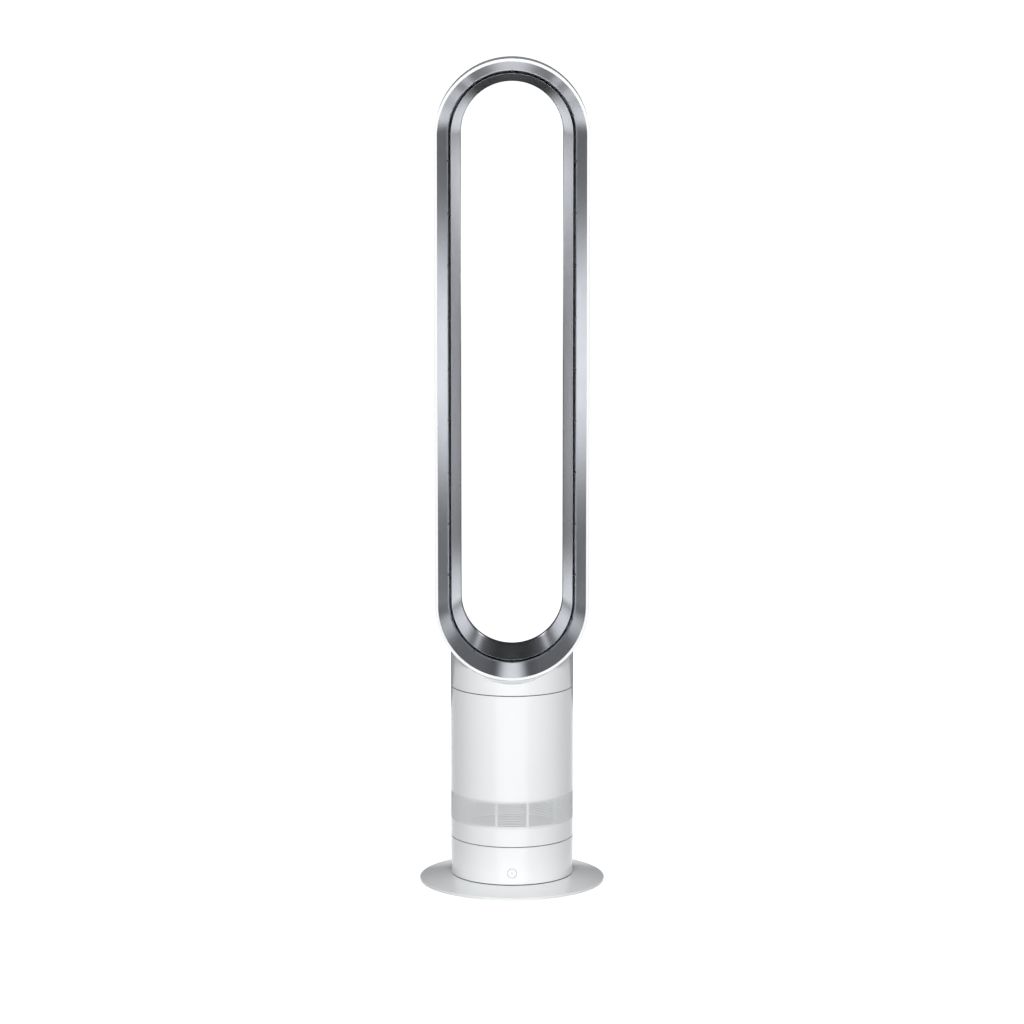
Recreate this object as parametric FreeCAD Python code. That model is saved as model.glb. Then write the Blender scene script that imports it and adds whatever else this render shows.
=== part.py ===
"""Bladeless tower fan, built piece by piece in millimetres.

A floor disc carries a fixed lower body with the controls and the swivel drive. The main body, its
mixed-flow blower and the tall air loop turn on a ball race above it. +Z is up, the front faces -Y,
and the origin is the middle of the footprint on the floor. Each piece is written to parts/NODE.step.
"""
import FreeCAD, Part
import math
import os

V = FreeCAD.Vector
Z_AXIS = V(0, 0, 1)

# ---- Overall sizes -------------------------------------------------------------------------------
OVERALL_HEIGHT = 1007.0
LOOP_WIDTH = 185.0
LOOP_DEPTH = 110.0
BODY_DIAMETER = 149.0
BASE_DIAMETER = 226.0

# ---- Walls, gaps and fits ------------------------------------------------------------------------
BODY_WALL = 2.5
LOOP_WALL = 2.5
RING_WALL = 1.8
SEAM_GAP = 1.1              # shadow gap between stacked casings
SEAL_INSET = 0.5            # how far a seam seal sits behind the casing's face
SLIP = 0.15                 # radial play between a spigot and its casing
SWIVEL_PLAY = 0.7           # radial gap where turning parts pass fixed ones
RUNNING_PLAY = 0.1          # radial gap of a shaft or ball in its seat
PANEL_GAP = 0.15            # hair gap where the loop sits in the neck

# ---- Floor disc ----------------------------------------------------------------------------------
FOOT_PROUD = 0.8
FOOT_WIDTH = 8.0
FOOT_INSET = 9.0
RIM_THICKNESS = 3.0
RIM_ROUND = 0.9
CONE_RISE = 5.8             # from the rim's top edge to the hub under the body
DISC_WALL = 2.0
COVER_THICKNESS = 0.8
COVER_MARGIN = 4.0
BALLAST_THICKNESS = 5.0
BALLAST_BORE = 20.0
HUB_SPIGOT_HEIGHT = 4.7

# ---- Lower body ----------------------------------------------------------------------------------
LOWER_BODY_HEIGHT = 45.6
DECK_THICKNESS = 3.0
DECK_DROP = 12.0            # from the lower casing's top edge to the deck's top face
LEDGE_WIDTH = 2.5
LEDGE_THICKNESS = 2.2
TABLE_LEDGE_WIDTH = 8.0
POST_RADIUS = 4.5
POST_INSET = 15.0           # from the casing's inner face to the circle of posts
POST_COUNT = 4
BUTTON_HEIGHT = 24.7
BUTTON_DIAMETER = 11.0
BUTTON_PLAY = 0.35
BUTTON_TRAVEL = 1.0
BUTTON_FLANGE = 1.5
BUTTON_STEM = 2.0
GLAND_HEIGHT = 24.7
GLAND_RADIUS = 5.85
GLAND_FLANGE = 1.65
GLAND_LIP = 1.4
CORD_BORE = 3.6
BOARD_THICKNESS = 1.6
BOARD_WIDTH = 60.0
BOARD_HEIGHT = 26.0
BOARD_SETBACK = 12.0        # from the casing's inner face to the control board
SWITCH_SIZE = 6.0
SWITCH_DEPTH = 3.5
PLUNGER_RADIUS = 1.75
MAINS_BOARD = (52.0, 50.0)
MAINS_STANDOFF = 5.7
MAINS_HOLE_INSET = 3.0      # from the mains board's edges to its fixings
MAINS_OVERLAP = 12.0        # how far the mains board reaches in beside the drive motor
TRANSFORMER = (20.0, 18.0, 16.0)
CAPACITOR_RADIUS = 4.5
CAPACITOR_HEIGHT = 17.0
RELAY = (16.0, 11.0, 9.0)

# ---- Swivel drive --------------------------------------------------------------------------------
RING_TEETH = 72
PINION_TEETH = 14
PRESSURE_ANGLE = math.radians(20.0)
GEAR_INSET = 18.0           # from the casing's inner face to the ring gear's pitch circle
GEAR_BACKLASH = 0.25
RING_RIM = 2.6
GEAR_FACE = 7.0
GEAR_LIFT = 3.0             # deck to the underside of the gears
DRIVE_MOTOR_RADIUS = 14.0
DRIVE_MOTOR_HEIGHT = 19.0
DRIVE_SHAFT_RADIUS = 2.5
BALL_DIAMETER = 5.0
BALL_COUNT = 20
BALL_INSET = 6.8            # from the casing's inner face to the ball circle
RACE_WIDTH = 8.5
RACE_THICKNESS = 3.2
GROOVE_DEPTH = 0.9
CAGE_THICKNESS = 1.4
CAGE_WIDTH = 6.5
HUB_TUBE_RADIUS = 12.0
HUB_TUBE_WALL = 3.0
BUSH_WALL = 3.0
BUSH_FLANGE = 3.0
CLIP_THICKNESS = 1.2
CLIP_REACH = 3.0
TURNTABLE_THICKNESS = 3.0

# ---- Main body and blower ------------------------------------------------------------------------
MAIN_BODY_HEIGHT = 185.6
INLET_BOTTOM = 22.5         # above the main casing's bottom edge
INLET_HEIGHT = 33.2
GRILLE_THICKNESS = 1.0
WINDOW_COUNT = 12
WINDOW_SHARE = 0.94
GRILLE_ROWS = 8
GRILLE_COLUMNS = 72
GRILLE_PORT_RADIUS = 1.5
FLOOR_FOAM_THICKNESS = 7.5
FOAM_PLAY = 1.0
SUPPORT_RADIUS = 2.0
SUPPORT_COUNT = 3
SUPPORT_TURN = 45.0
SUPPORT_INSET = 2.7
BLOWER_GAP = 7.0            # inlet band's top edge to the blower's mouth
BLOWER_MOUTH = 41.0
BLOWER_SLANT = 40.0         # height of the housing's cone
HOUSING_INSET = 12.0        # from the casing's inner face to the housing
HOUSING_STRAIGHT = 52.0
HOUSING_WALL = 2.0
MOUTH_FLARE = 9.0
ISOLATOR_THICKNESS = 1.5
LUG_THICKNESS = 3.0
LUG_WIDTH = 10.0
BLADE_COUNT = 9
BLADE_THICKNESS = 1.4
BLADE_SWEEP = 26.0          # radius of each blade's arc seen from above
HUB_NOSE = 11.0
HUB_TAIL = 35.0
TIP_PLAY = 1.2
SHROUD_WALL = 1.2
SHAFT_RADIUS = 2.5
BUCKET_RADIUS = 38.0
BUCKET_WALL = 1.6
BUCKET_LOWER = 14.0
BUCKET_UPPER = 44.0
BUCKET_DOME = 12.0
BEARING_RADIUS = 8.0
BEARING_HEIGHT = 5.0
MAGNET_RADIUS = 12.0
STATOR_BACK = 4.0
STATOR_HEIGHT = 16.0
POLE_COUNT = 6
POLE_WIDTH = 6.0
COIL_BULGE = 2.2
AIR_GAP = 0.6
VANE_COUNT = 13
VANE_HEIGHT = 20.0
VANE_THICKNESS = 1.4
VANE_LEAN = 25.0
VANE_RING_WALL = 1.0

# ---- Neck and loop -------------------------------------------------------------------------------
NECK_FRONT_HEIGHT = 14.4    # neck's bottom edge to the loop's lowest point
SPIGOT_DEPTH = 8.0
SPIGOT_WALL = 2.4
RETAINING_SCREW_DROP = 5.0  # from the main casing's top edge to the screw
PASSAGE_WIDTH = 90.0
PASSAGE_FRONT = 15.0        # loop's front face to the air passage
PASSAGE_BACK = 35.0         # loop's back to the air passage
GUIDE_RADIUS = 20.0
GUIDE_THICKNESS = 1.5
GUIDE_SPREAD = 12.0
OPENING_WIDTH = 123.0       # clear width through the loop
RIM_WIDTH = 3.5             # casing's rim seen from the front
RIM_LIP = 2.5
RIM_EDGE_ROUND = 0.8
RING_FLANGE = 1.0
RING_FLANGE_DEPTH = 2.0
RING_RECESS = 0.4
FRONT_RING_WIDTH = 13.35
FRONT_RING_DEPTH = 33.0
AIR_SLOT = 1.3
LIP_THICKNESS = 1.4
NOSE_RADIUS_POSITION = 16.5  # loop's outer face to the tip of its nose
SHOULDER_FROM_BACK = 67.0
THROAT_FROM_BACK = 31.0
SEAM_FROM_BACK = 23.0
THROAT_ROUND = 30.0
SPACER_LENGTH = 7.4
SPACER_WIDTH = 2.0
SPACERS_PER_SIDE = 9
SPACERS_PER_END = 5
JOINT_SEAL_WIDTH = 1.2
JOINT_SEAL_DEPTH = 3.0

# ---- Screws --------------------------------------------------------------------------------------
SCREW_RADIUS = 1.5
SCREW_HEAD_RADIUS = 3.0
SCREW_HEAD_HEIGHT = 1.8
SCREW_PLAY = 0.3
FLAT_HEAD_HEIGHT = 1.3
CROSS_SLOT = 0.4            # half the width of a screw's cross slot
CROSS_DEPTH = 0.7

# ---- Levels and radii that follow from the sizes above --------------------------------------------
BODY_R = BODY_DIAMETER / 2
BODY_IN = BODY_R - BODY_WALL
BASE_R = BASE_DIAMETER / 2
Z_RIM_TOP = FOOT_PROUD + RIM_THICKNESS
Z_HUB = Z_RIM_TOP + CONE_RISE
Z_COVER_TOP = FOOT_PROUD + COVER_THICKNESS
Z_LOWER = Z_HUB + SEAM_GAP
Z_LOWER_TOP = Z_LOWER + LOWER_BODY_HEIGHT
Z_DECK = Z_LOWER_TOP - DECK_DROP
Z_DECK_BOTTOM = Z_DECK - DECK_THICKNESS
Z_BALL = Z_DECK + RACE_THICKNESS - GROOVE_DEPTH + BALL_DIAMETER / 2
Z_UPPER_RACE = Z_BALL + (Z_BALL - Z_DECK - RACE_THICKNESS)
Z_TABLE_SEAT = Z_UPPER_RACE + RACE_THICKNESS
Z_MAIN = Z_LOWER_TOP + SEAM_GAP
Z_TABLE = Z_MAIN + SEAM_GAP
Z_TABLE_BOTTOM = Z_TABLE - TURNTABLE_THICKNESS
Z_TABLE_LEDGE = Z_TABLE + LEDGE_THICKNESS
TABLE_SCREW_CIRCLE = BODY_IN - TABLE_LEDGE_WIDTH / 2
Z_MAIN_TOP = Z_MAIN + MAIN_BODY_HEIGHT
Z_INLET = Z_MAIN + INLET_BOTTOM
Z_INLET_TOP = Z_INLET + INLET_HEIGHT
Z_NECK = Z_MAIN_TOP + SEAM_GAP
BALL_CIRCLE = BODY_IN - BALL_INSET
RING_PITCH = BODY_IN - GEAR_INSET
GEAR_MODULE = 2 * RING_PITCH / RING_TEETH
PINION_PITCH = GEAR_MODULE * PINION_TEETH / 2
PINION_X = -(RING_PITCH - PINION_PITCH)
POST_CIRCLE = BODY_IN - POST_INSET
Z_GEAR = Z_DECK + GEAR_LIFT
BUSH_IN = HUB_TUBE_RADIUS + RUNNING_PLAY
BUSH_OUT = BUSH_IN + BUSH_WALL
Z_CLIP_TOP = Z_DECK_BOTTOM - 2 * CLIP_THICKNESS
Z_TUBE_END = Z_CLIP_TOP - 2 * CLIP_THICKNESS
BOARD_Y = -(BODY_IN - BOARD_SETBACK)
SWITCH_Y = BOARD_Y - SWITCH_DEPTH
PLUNGER_Y = SWITCH_Y - BUTTON_TRAVEL - 1.0
Z_MOUTH = Z_INLET_TOP + BLOWER_GAP
Z_CONE_TOP = Z_MOUTH + BLOWER_SLANT
HOUSING_R = BODY_IN - HOUSING_INSET
Z_HOUSING_TOP = Z_CONE_TOP + HOUSING_STRAIGHT
Z_BUCKET = Z_CONE_TOP + 2.0
Z_BUCKET_JOINT = Z_BUCKET + BUCKET_LOWER
Z_BUCKET_TOP = Z_BUCKET_JOINT + BUCKET_UPPER
Z_STATOR = Z_BUCKET_JOINT - 2.0
STATOR_RADIUS = BUCKET_RADIUS - BUCKET_WALL
SUPPORT_CIRCLE = BODY_IN - SUPPORT_INSET
Z_LUG = Z_CONE_TOP + ISOLATOR_THICKNESS
LOOP_R = LOOP_WIDTH / 2
OPENING_R = OPENING_WIDTH / 2
Z_LOOP = Z_NECK + NECK_FRONT_HEIGHT
Z_LOW_ARC = Z_LOOP + LOOP_R
Z_HIGH_ARC = OVERALL_HEIGHT - LOOP_R
Z_RING_JOINT = (Z_LOW_ARC + Z_HIGH_ARC) / 2
Y_FRONT = -LOOP_DEPTH / 2
Y_BACK = LOOP_DEPTH / 2
Y_SHOULDER = Y_BACK - SHOULDER_FROM_BACK
Y_THROAT = Y_BACK - THROAT_FROM_BACK
Y_SEAM = Y_BACK - SEAM_FROM_BACK
Y_CREASE = Y_FRONT + FRONT_RING_DEPTH
NOSE_R = LOOP_R - NOSE_RADIUS_POSITION
FRONT_RING_R = LOOP_R - RIM_WIDTH
CREASE_R = FRONT_RING_R - FRONT_RING_WIDTH
LIP_R = CREASE_R - AIR_SLOT - LIP_THICKNESS


# ---- Shape helpers -------------------------------------------------------------------------------
def cylinder(radius, z0, z1, x=0.0, y=0.0):
    return Part.makeCylinder(radius, z1 - z0, V(x, y, z0))


def tube(inner, outer, z0, z1, x=0.0, y=0.0):
    return cylinder(outer, z0, z1, x, y).cut(cylinder(inner, z0, z1, x, y))


def box(x0, x1, y0, y1, z0, z1):
    return Part.makeBox(x1 - x0, y1 - y0, z1 - z0, V(x0, y0, z0))


def rod_y(radius, y0, y1, z, x=0.0):
    """A round bar along Y."""
    return Part.makeCylinder(radius, y1 - y0, V(x, y0, z), V(0, 1, 0))


def lathe(points):
    """Solid of revolution about Z from (radius, z) points."""
    wire = Part.makePolygon([V(r, 0, z) for r, z in points + points[:1]])
    return Part.Face(wire).revolve(V(0, 0, 0), Z_AXIS, 360)


def turned(shape, degrees):
    copy = shape.copy()
    copy.rotate(V(0, 0, 0), Z_AXIS, degrees)
    return copy


def around(shape, count, start=0.0):
    """Copies of a shape spaced evenly about the vertical axis."""
    return [turned(shape, start + 360.0 * i / count) for i in range(count)]


def save(name, shape):
    """Writes one node, after making sure that every solid in it is sound."""
    solids = shape if isinstance(shape, list) else shape.Solids
    for solid in solids:
        if not solid.isValid() or solid.Volume <= 0:
            raise ValueError(f"{name} has an unsound solid")
    made = solids[0] if len(solids) == 1 else Part.makeCompound(solids)
    made.exportStep(f"parts/{name}.step")
    print(f"{name}: {len(solids)} solid(s), {sum(s.Volume for s in solids) / 1000:.1f} cm3")


def screw(z_seat, length, x, y, up=False):
    """A pan-head screw along Z. Its head rests on z_seat, below the joint when up is true."""
    way = 1 if up else -1
    head = (z_seat - SCREW_HEAD_HEIGHT, z_seat) if up else (z_seat, z_seat + SCREW_HEAD_HEIGHT)
    shank = sorted((z_seat, z_seat + way * length))
    body = cylinder(SCREW_HEAD_RADIUS, head[0], head[1], x, y)
    body = body.fuse(cylinder(SCREW_RADIUS, shank[0], shank[1], x, y))
    slot_z = head[0] if up else head[1]
    depth = SCREW_HEAD_HEIGHT / 2
    for across, along in ((SCREW_RADIUS, CROSS_SLOT), (CROSS_SLOT, SCREW_RADIUS)):
        cross = box(x - across, x + across, y - along, y + along, slot_z - depth, slot_z + depth)
        body = body.cut(cross)
    return body


def post_places():
    """Middles of the posts that carry the deck."""
    half = 180.0 / POST_COUNT
    turns = [math.radians(half + 360.0 * i / POST_COUNT) for i in range(POST_COUNT)]
    return [(POST_CIRCLE * math.cos(a), POST_CIRCLE * math.sin(a)) for a in turns]


# ---- Gears ---------------------------------------------------------------------------------------
def gear_outline(teeth, tip, root, half_thickness):
    """Involute gear face with a tooth on +X. half_thickness is half a tooth at the pitch circle."""
    pitch = GEAR_MODULE * teeth / 2
    base = pitch * math.cos(PRESSURE_ANGLE)

    def roll(r):
        ratio = max(1.0, r / base)
        return math.sqrt(ratio * ratio - 1) - math.acos(1 / ratio)

    def half_angle(r):
        return half_thickness / pitch + roll(pitch) - roll(r)

    def at(r, angle):
        return V(r * math.cos(angle), r * math.sin(angle), 0)

    start = max(root, base)
    radii = [start + (tip - start) * i / 4 for i in range(5)]
    edges = []
    step = 2 * math.pi / teeth
    for i in range(teeth):
        middle = i * step
        rising = [at(r, middle - half_angle(r)) for r in radii]
        falling = [at(r, middle + half_angle(r)) for r in reversed(radii)]
        root_in = at(root, middle - half_angle(start))
        root_out = at(root, middle + half_angle(start))
        next_in = at(root, middle + step - half_angle(start))
        if start > root:
            edges.append(Part.makeLine(root_in, rising[0]))
        for flank in (rising, falling):
            curve = Part.BSplineCurve()
            curve.interpolate(flank)
            edges.append(curve.toShape())
            if flank is rising:
                edges.append(Part.Arc(rising[-1], at(tip, middle), falling[0]).toShape())
        if start > root:
            edges.append(Part.makeLine(falling[-1], root_out))
        edges.append(Part.Arc(root_out, at(root, middle + step / 2), next_in).toShape())
    return Part.Face(Part.Wire(edges))


# ---- Loop outline --------------------------------------------------------------------------------
def oval_point(centre, semi, angle):
    return V(centre[0] + semi[0] * math.cos(angle), centre[1] + semi[1] * math.sin(angle), 0)


def oval_arc(centre, semi, start, end):
    """Arc of an upright ellipse, from start to end in radians, in the plane of (radius, depth)."""
    middle = V(centre[0], centre[1], 0)
    if semi[1] > semi[0]:
        curve = Part.Ellipse(middle + V(0, semi[1], 0), middle - V(semi[0], 0, 0), middle)
        start, end = start - math.pi / 2, end - math.pi / 2
    else:
        curve = Part.Ellipse(middle + V(semi[0], 0, 0), middle + V(0, semi[1], 0), middle)
    return Part.ArcOfEllipse(curve, start, end).toShape()


OUTER_OVAL = ((NOSE_R, Y_SHOULDER), (LOOP_R - NOSE_R, Y_BACK - Y_SHOULDER))
INNER_OVAL = ((NOSE_R, Y_THROAT), (NOSE_R - OPENING_R, Y_BACK - Y_THROAT))


def thinner(oval, wall):
    centre, semi = oval
    return centre, (semi[0] - wall, semi[1] - wall)


def seam_angle(oval):
    centre, semi = oval
    return math.asin((Y_SEAM - centre[1]) / semi[1])


def line(a, b):
    return Part.makeLine(V(a[0], a[1], 0), V(b[0], b[1], 0))


def path(points):
    return [line(a, b) for a, b in zip(points, points[1:])]


def face_of(edges):
    return Part.Face(Part.Wire(Part.__sortEdges__(edges)))


def racetrack(face):
    """Carries a section drawn as (radius, depth) once round the loop."""
    def at(z):
        copy = face.copy()
        copy.translate(V(0, 0, z))
        return copy

    low = at(Z_LOW_ARC).revolve(V(0, 0, Z_LOW_ARC), V(0, 1, 0), 180)
    high = at(Z_HIGH_ARC).revolve(V(0, 0, Z_HIGH_ARC), V(0, 1, 0), -180)
    right = at(Z_LOW_ARC).extrude(V(0, 0, Z_HIGH_ARC - Z_LOW_ARC))
    left = right.mirror(V(0, 0, 0), V(1, 0, 0))
    return low.fuse([high, right, left]).removeSplitter()


def outer_shell_section():
    """Casing wall from the front rim back to the seam."""
    outer = seam_angle(OUTER_OVAL)
    inner_oval = thinner(OUTER_OVAL, LOOP_WALL)
    inner = seam_angle(inner_oval)
    edge = LOOP_R - RIM_EDGE_ROUND
    bend = RIM_EDGE_ROUND * (1 - math.sqrt(0.5))
    corner = Part.Arc(V(edge, Y_FRONT, 0), V(LOOP_R - bend, Y_FRONT + bend, 0),
                      V(LOOP_R, Y_FRONT + RIM_EDGE_ROUND, 0)).toShape()
    lip = Y_FRONT + RIM_LIP
    inside = LOOP_R - LOOP_WALL
    edges = [corner, line((LOOP_R, Y_FRONT + RIM_EDGE_ROUND), (LOOP_R, Y_SHOULDER))]
    edges.append(oval_arc(*OUTER_OVAL, 0, outer))
    edges.append(oval_arc(*inner_oval, 0, inner))
    a = oval_point(*OUTER_OVAL, outer)
    b = oval_point(*inner_oval, inner)
    edges.append(line((a.x, a.y), (b.x, b.y)))
    edges += path([(inside, Y_SHOULDER), (inside, lip), (FRONT_RING_R, lip),
                   (FRONT_RING_R, Y_FRONT), (edge, Y_FRONT)])
    return face_of(edges)


def rear_cover_section():
    """C-shaped nose that closes the back of the loop."""
    outer = thinner(OUTER_OVAL, LOOP_WALL)
    inner = thinner(INNER_OVAL, LOOP_WALL)
    turn = math.pi
    edges = []
    for skin_out, skin_in in ((OUTER_OVAL, INNER_OVAL), (outer, inner)):
        edges.append(oval_arc(*skin_out, seam_angle(skin_out), turn / 2))
        edges.append(oval_arc(*skin_in, turn / 2, turn - seam_angle(skin_in)))
    for skin, wall in ((OUTER_OVAL, outer), (INNER_OVAL, inner)):
        flip = skin is INNER_OVAL
        at = [turn - seam_angle(o) if flip else seam_angle(o) for o in (skin, wall)]
        a, b = oval_point(*skin, at[0]), oval_point(*wall, at[1])
        edges.append(line((a.x, a.y), (b.x, b.y)))
    return face_of(edges)


def throat_tangent():
    """Angle, and where the throat's round meets the straight flare, on the air side."""
    across = THROAT_ROUND - (LIP_R - OPENING_R)
    along = Y_THROAT - Y_CREASE
    away = math.hypot(across, along)
    angle = math.atan2(along, across) - math.acos(THROAT_ROUND / away)
    return angle


def throat_point(radius, angle):
    return (OPENING_R + THROAT_ROUND - radius * math.cos(angle), Y_THROAT - radius * math.sin(angle))


def inner_ring_section():
    """Wall from the slot's lip, through the throat, to the seam at the back."""
    angle = throat_tangent()
    skins = []
    for wall in (0.0, RING_WALL):
        radius = THROAT_ROUND - wall
        middle, end = throat_point(radius, angle / 2), throat_point(radius, angle)
        start = throat_point(radius, 0)
        oval = thinner(INNER_OVAL, wall)
        back = math.pi - seam_angle(oval)
        arc = Part.Arc(V(*start, 0), V(*middle, 0), V(*end, 0)).toShape()
        skins.append((oval_arc(*oval, back, math.pi), arc, end, oval_point(*oval, back)))
    lip_in = (LIP_R, Y_CREASE)
    lip_out = (LIP_R + LIP_THICKNESS, Y_CREASE)
    edges = [skins[0][0], skins[0][1], line(skins[0][2], lip_in), line(lip_in, lip_out)]
    edges += [line(lip_out, skins[1][2]), skins[1][1], skins[1][0]]
    a, b = skins[0][3], skins[1][3]
    edges.append(line((a.x, a.y), (b.x, b.y)))
    return face_of(edges)


def front_ring_section():
    """Wall from the casing's rim in to the round nose beside the slot."""
    outer = (FRONT_RING_R, Y_FRONT + RING_RECESS)
    inner = (CREASE_R, Y_CREASE)
    along, normal = ring_slope()
    back_inner = (inner[0] + RING_WALL * normal[0], inner[1] + RING_WALL * normal[1])
    tip = [nose_centre()[i] + along[i] * RING_WALL / 2 for i in (0, 1)]
    lip = Y_FRONT + RIM_LIP
    flange_r = FRONT_RING_R + RING_FLANGE
    flange_y = lip + RING_FLANGE_DEPTH
    slide = (flange_y - back_inner[1]) / along[1]
    back_outer = (back_inner[0] + slide * along[0], flange_y)
    nose = Part.Arc(V(*back_inner, 0), V(*tip, 0), V(*inner, 0)).toShape()
    edges = path([inner, outer, (FRONT_RING_R, lip), (flange_r, lip), (flange_r, flange_y),
                  back_outer, back_inner])
    return face_of(edges + [nose])


def ring_slope():
    """Unit vector down the front ring's face, from the rim to the slot, and the one into its wall."""
    across, along = FRONT_RING_WIDTH, FRONT_RING_DEPTH - RING_RECESS
    span = math.hypot(across, along)
    return (-across / span, along / span), (along / span, across / span)


def nose_centre():
    into = ring_slope()[1]
    return (CREASE_R + RING_WALL / 2 * into[0], Y_CREASE + RING_WALL / 2 * into[1])


def slot_spacers():
    """Ribs that hold the slot open, spaced along both straights and both ends."""
    lip = (LIP_R + LIP_THICKNESS, Y_CREASE)
    angle = throat_tangent()
    far = throat_point(THROAT_ROUND - RING_WALL, angle)
    share = SPACER_LENGTH / (far[1] - lip[1])
    back = (lip[0] + (far[0] - lip[0]) * share, lip[1] + SPACER_LENGTH)
    top = nose_centre()[0] - RING_WALL / 2
    section = Part.Face(Part.Wire(path([lip, back, (top, back[1] - RING_WALL), (top, lip[1]), lip])))
    ribs = []
    pitch = (Z_HIGH_ARC - Z_LOW_ARC) / SPACERS_PER_SIDE
    for i in range(SPACERS_PER_SIDE):
        face = section.copy()
        face.translate(V(0, 0, Z_LOW_ARC + pitch * (i + 0.5) - SPACER_WIDTH / 2))
        rib = face.extrude(V(0, 0, SPACER_WIDTH))
        ribs += [rib, rib.mirror(V(0, 0, 0), V(1, 0, 0))]
    turn = math.degrees(SPACER_WIDTH / CREASE_R)
    for level, way in ((Z_LOW_ARC, 1), (Z_HIGH_ARC, -1)):
        face = section.copy()
        face.translate(V(0, 0, level))
        rib = face.revolve(V(0, 0, level), V(0, 1, 0), way * turn)
        for i in range(SPACERS_PER_END):
            copy = rib.copy()
            share = (i + 0.5) / SPACERS_PER_END
            copy.rotate(V(0, 0, level), V(0, 1, 0), way * (180.0 * share - turn / 2))
            ribs.append(copy)
    return ribs


def loop_envelope(gap):
    """Everything inside the loop's outer face, run out past the body at front and back."""
    reach = BODY_R + 10
    semi = (OUTER_OVAL[1][0] + gap, OUTER_OVAL[1][1] + gap)
    oval = (OUTER_OVAL[0], semi)
    back_r, back_y = NOSE_R, Y_BACK + gap
    edges = [oval_arc(*oval, 0, math.pi / 2)]
    edges += path([(back_r, back_y), (back_r, reach), (0, reach), (0, -reach),
                   (LOOP_R + gap, -reach), (LOOP_R + gap, Y_SHOULDER)])
    face = face_of(edges)
    face.translate(V(0, 0, Z_LOW_ARC))
    return face.revolve(V(0, 0, Z_LOW_ARC), V(0, 1, 0), 180)


def air_passage():
    """The way from the neck up into the loop."""
    half = PASSAGE_WIDTH / 2
    rise = LOOP_R - math.sqrt(LOOP_R ** 2 - half ** 2)
    z0, z1 = Z_LOOP - 2 * LOOP_WALL, Z_LOOP + rise + 2 * LOOP_WALL
    return box(-half, half, Y_FRONT + PASSAGE_FRONT, Y_BACK - PASSAGE_BACK, z0, z1)


# ---- Floor disc ----------------------------------------------------------------------------------
def floor_disc():
    """Rubber foot, bottom cover, steel ballast, disc and the screws between them."""
    foot_out = BASE_R - FOOT_INSET
    foot_in = foot_out - FOOT_WIDTH
    groove = COVER_THICKNESS / 2
    save("rubber_foot", tube(foot_in, foot_out, 0, FOOT_PROUD + groove))
    cover_r = BASE_R - COVER_MARGIN
    cover = cylinder(cover_r - SLIP, FOOT_PROUD, Z_COVER_TOP)
    cover = cover.cut(tube(foot_in, foot_out, FOOT_PROUD, FOOT_PROUD + groove))
    save("bottom_cover", cover)

    edge = BASE_R - RIM_ROUND
    slope = CONE_RISE / (edge - BODY_R)
    inner_top = Z_RIM_TOP - DISC_WALL + (edge - cover_r) * slope
    disc = lathe([(0, Z_HUB), (BODY_R + 1, Z_HUB), (edge, Z_RIM_TOP), (BASE_R, Z_RIM_TOP - RIM_ROUND),
                  (BASE_R, FOOT_PROUD), (cover_r, FOOT_PROUD), (cover_r, inner_top),
                  (BODY_R, Z_HUB - DISC_WALL), (0, Z_HUB - DISC_WALL)])
    spigot = BODY_IN - SLIP
    disc = disc.fuse(tube(spigot - LEDGE_WIDTH, spigot, Z_HUB, Z_HUB + HUB_SPIGOT_HEIGHT))
    for x, y in post_places():
        disc = disc.fuse(cylinder(POST_RADIUS, Z_HUB - DISC_WALL, Z_DECK_BOTTOM, x, y))
        disc = disc.cut(cylinder(SCREW_RADIUS, Z_HUB - DISC_WALL, Z_DECK_BOTTOM, x, y))
    for x, y in mains_corners():
        disc = disc.fuse(cylinder(2 * SCREW_RADIUS, Z_HUB, Z_HUB + MAINS_STANDOFF, x, y))
    half = BOARD_WIDTH / 2
    for x in (-half, half - 3 * BOARD_THICKNESS):
        back = BOARD_Y + BOARD_THICKNESS
        disc = disc.fuse(box(x, x + 3 * BOARD_THICKNESS, back, back + 3 * BOARD_THICKNESS,
                             Z_HUB, Z_HUB + BOARD_HEIGHT / 2))
    save("base_disc", disc)

    ballast_top = Z_HUB - DISC_WALL
    ballast_bottom = ballast_top - BALLAST_THICKNESS
    ballast = tube(BALLAST_BORE, BODY_R - BODY_WALL, ballast_bottom, ballast_top)
    screws = []
    seat = ballast_bottom + SCREW_HEAD_HEIGHT
    for x, y in post_places():
        ballast = ballast.cut(cylinder(SCREW_RADIUS + SCREW_PLAY, ballast_bottom, ballast_top, x, y))
        ballast = ballast.cut(cylinder(SCREW_HEAD_RADIUS + SCREW_PLAY, ballast_bottom, seat, x, y))
        screws.append(screw(seat, 4 * BALLAST_THICKNESS, x, y, up=True))
    save("ballast_ring", ballast)
    save("ballast_screws", screws)


# ---- Lower body ----------------------------------------------------------------------------------
def mains_corners():
    x, y = [side / 2 - MAINS_HOLE_INSET for side in MAINS_BOARD]
    shift = mains_shift()
    return [(sx * x, sy * y + shift) for sx in (-1, 1) for sy in (-1, 1)]


def mains_shift():
    """How far back the mains board sits, clear of the drive motor."""
    return DRIVE_MOTOR_RADIUS + MAINS_BOARD[1] / 2 - MAINS_OVERLAP


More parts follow.
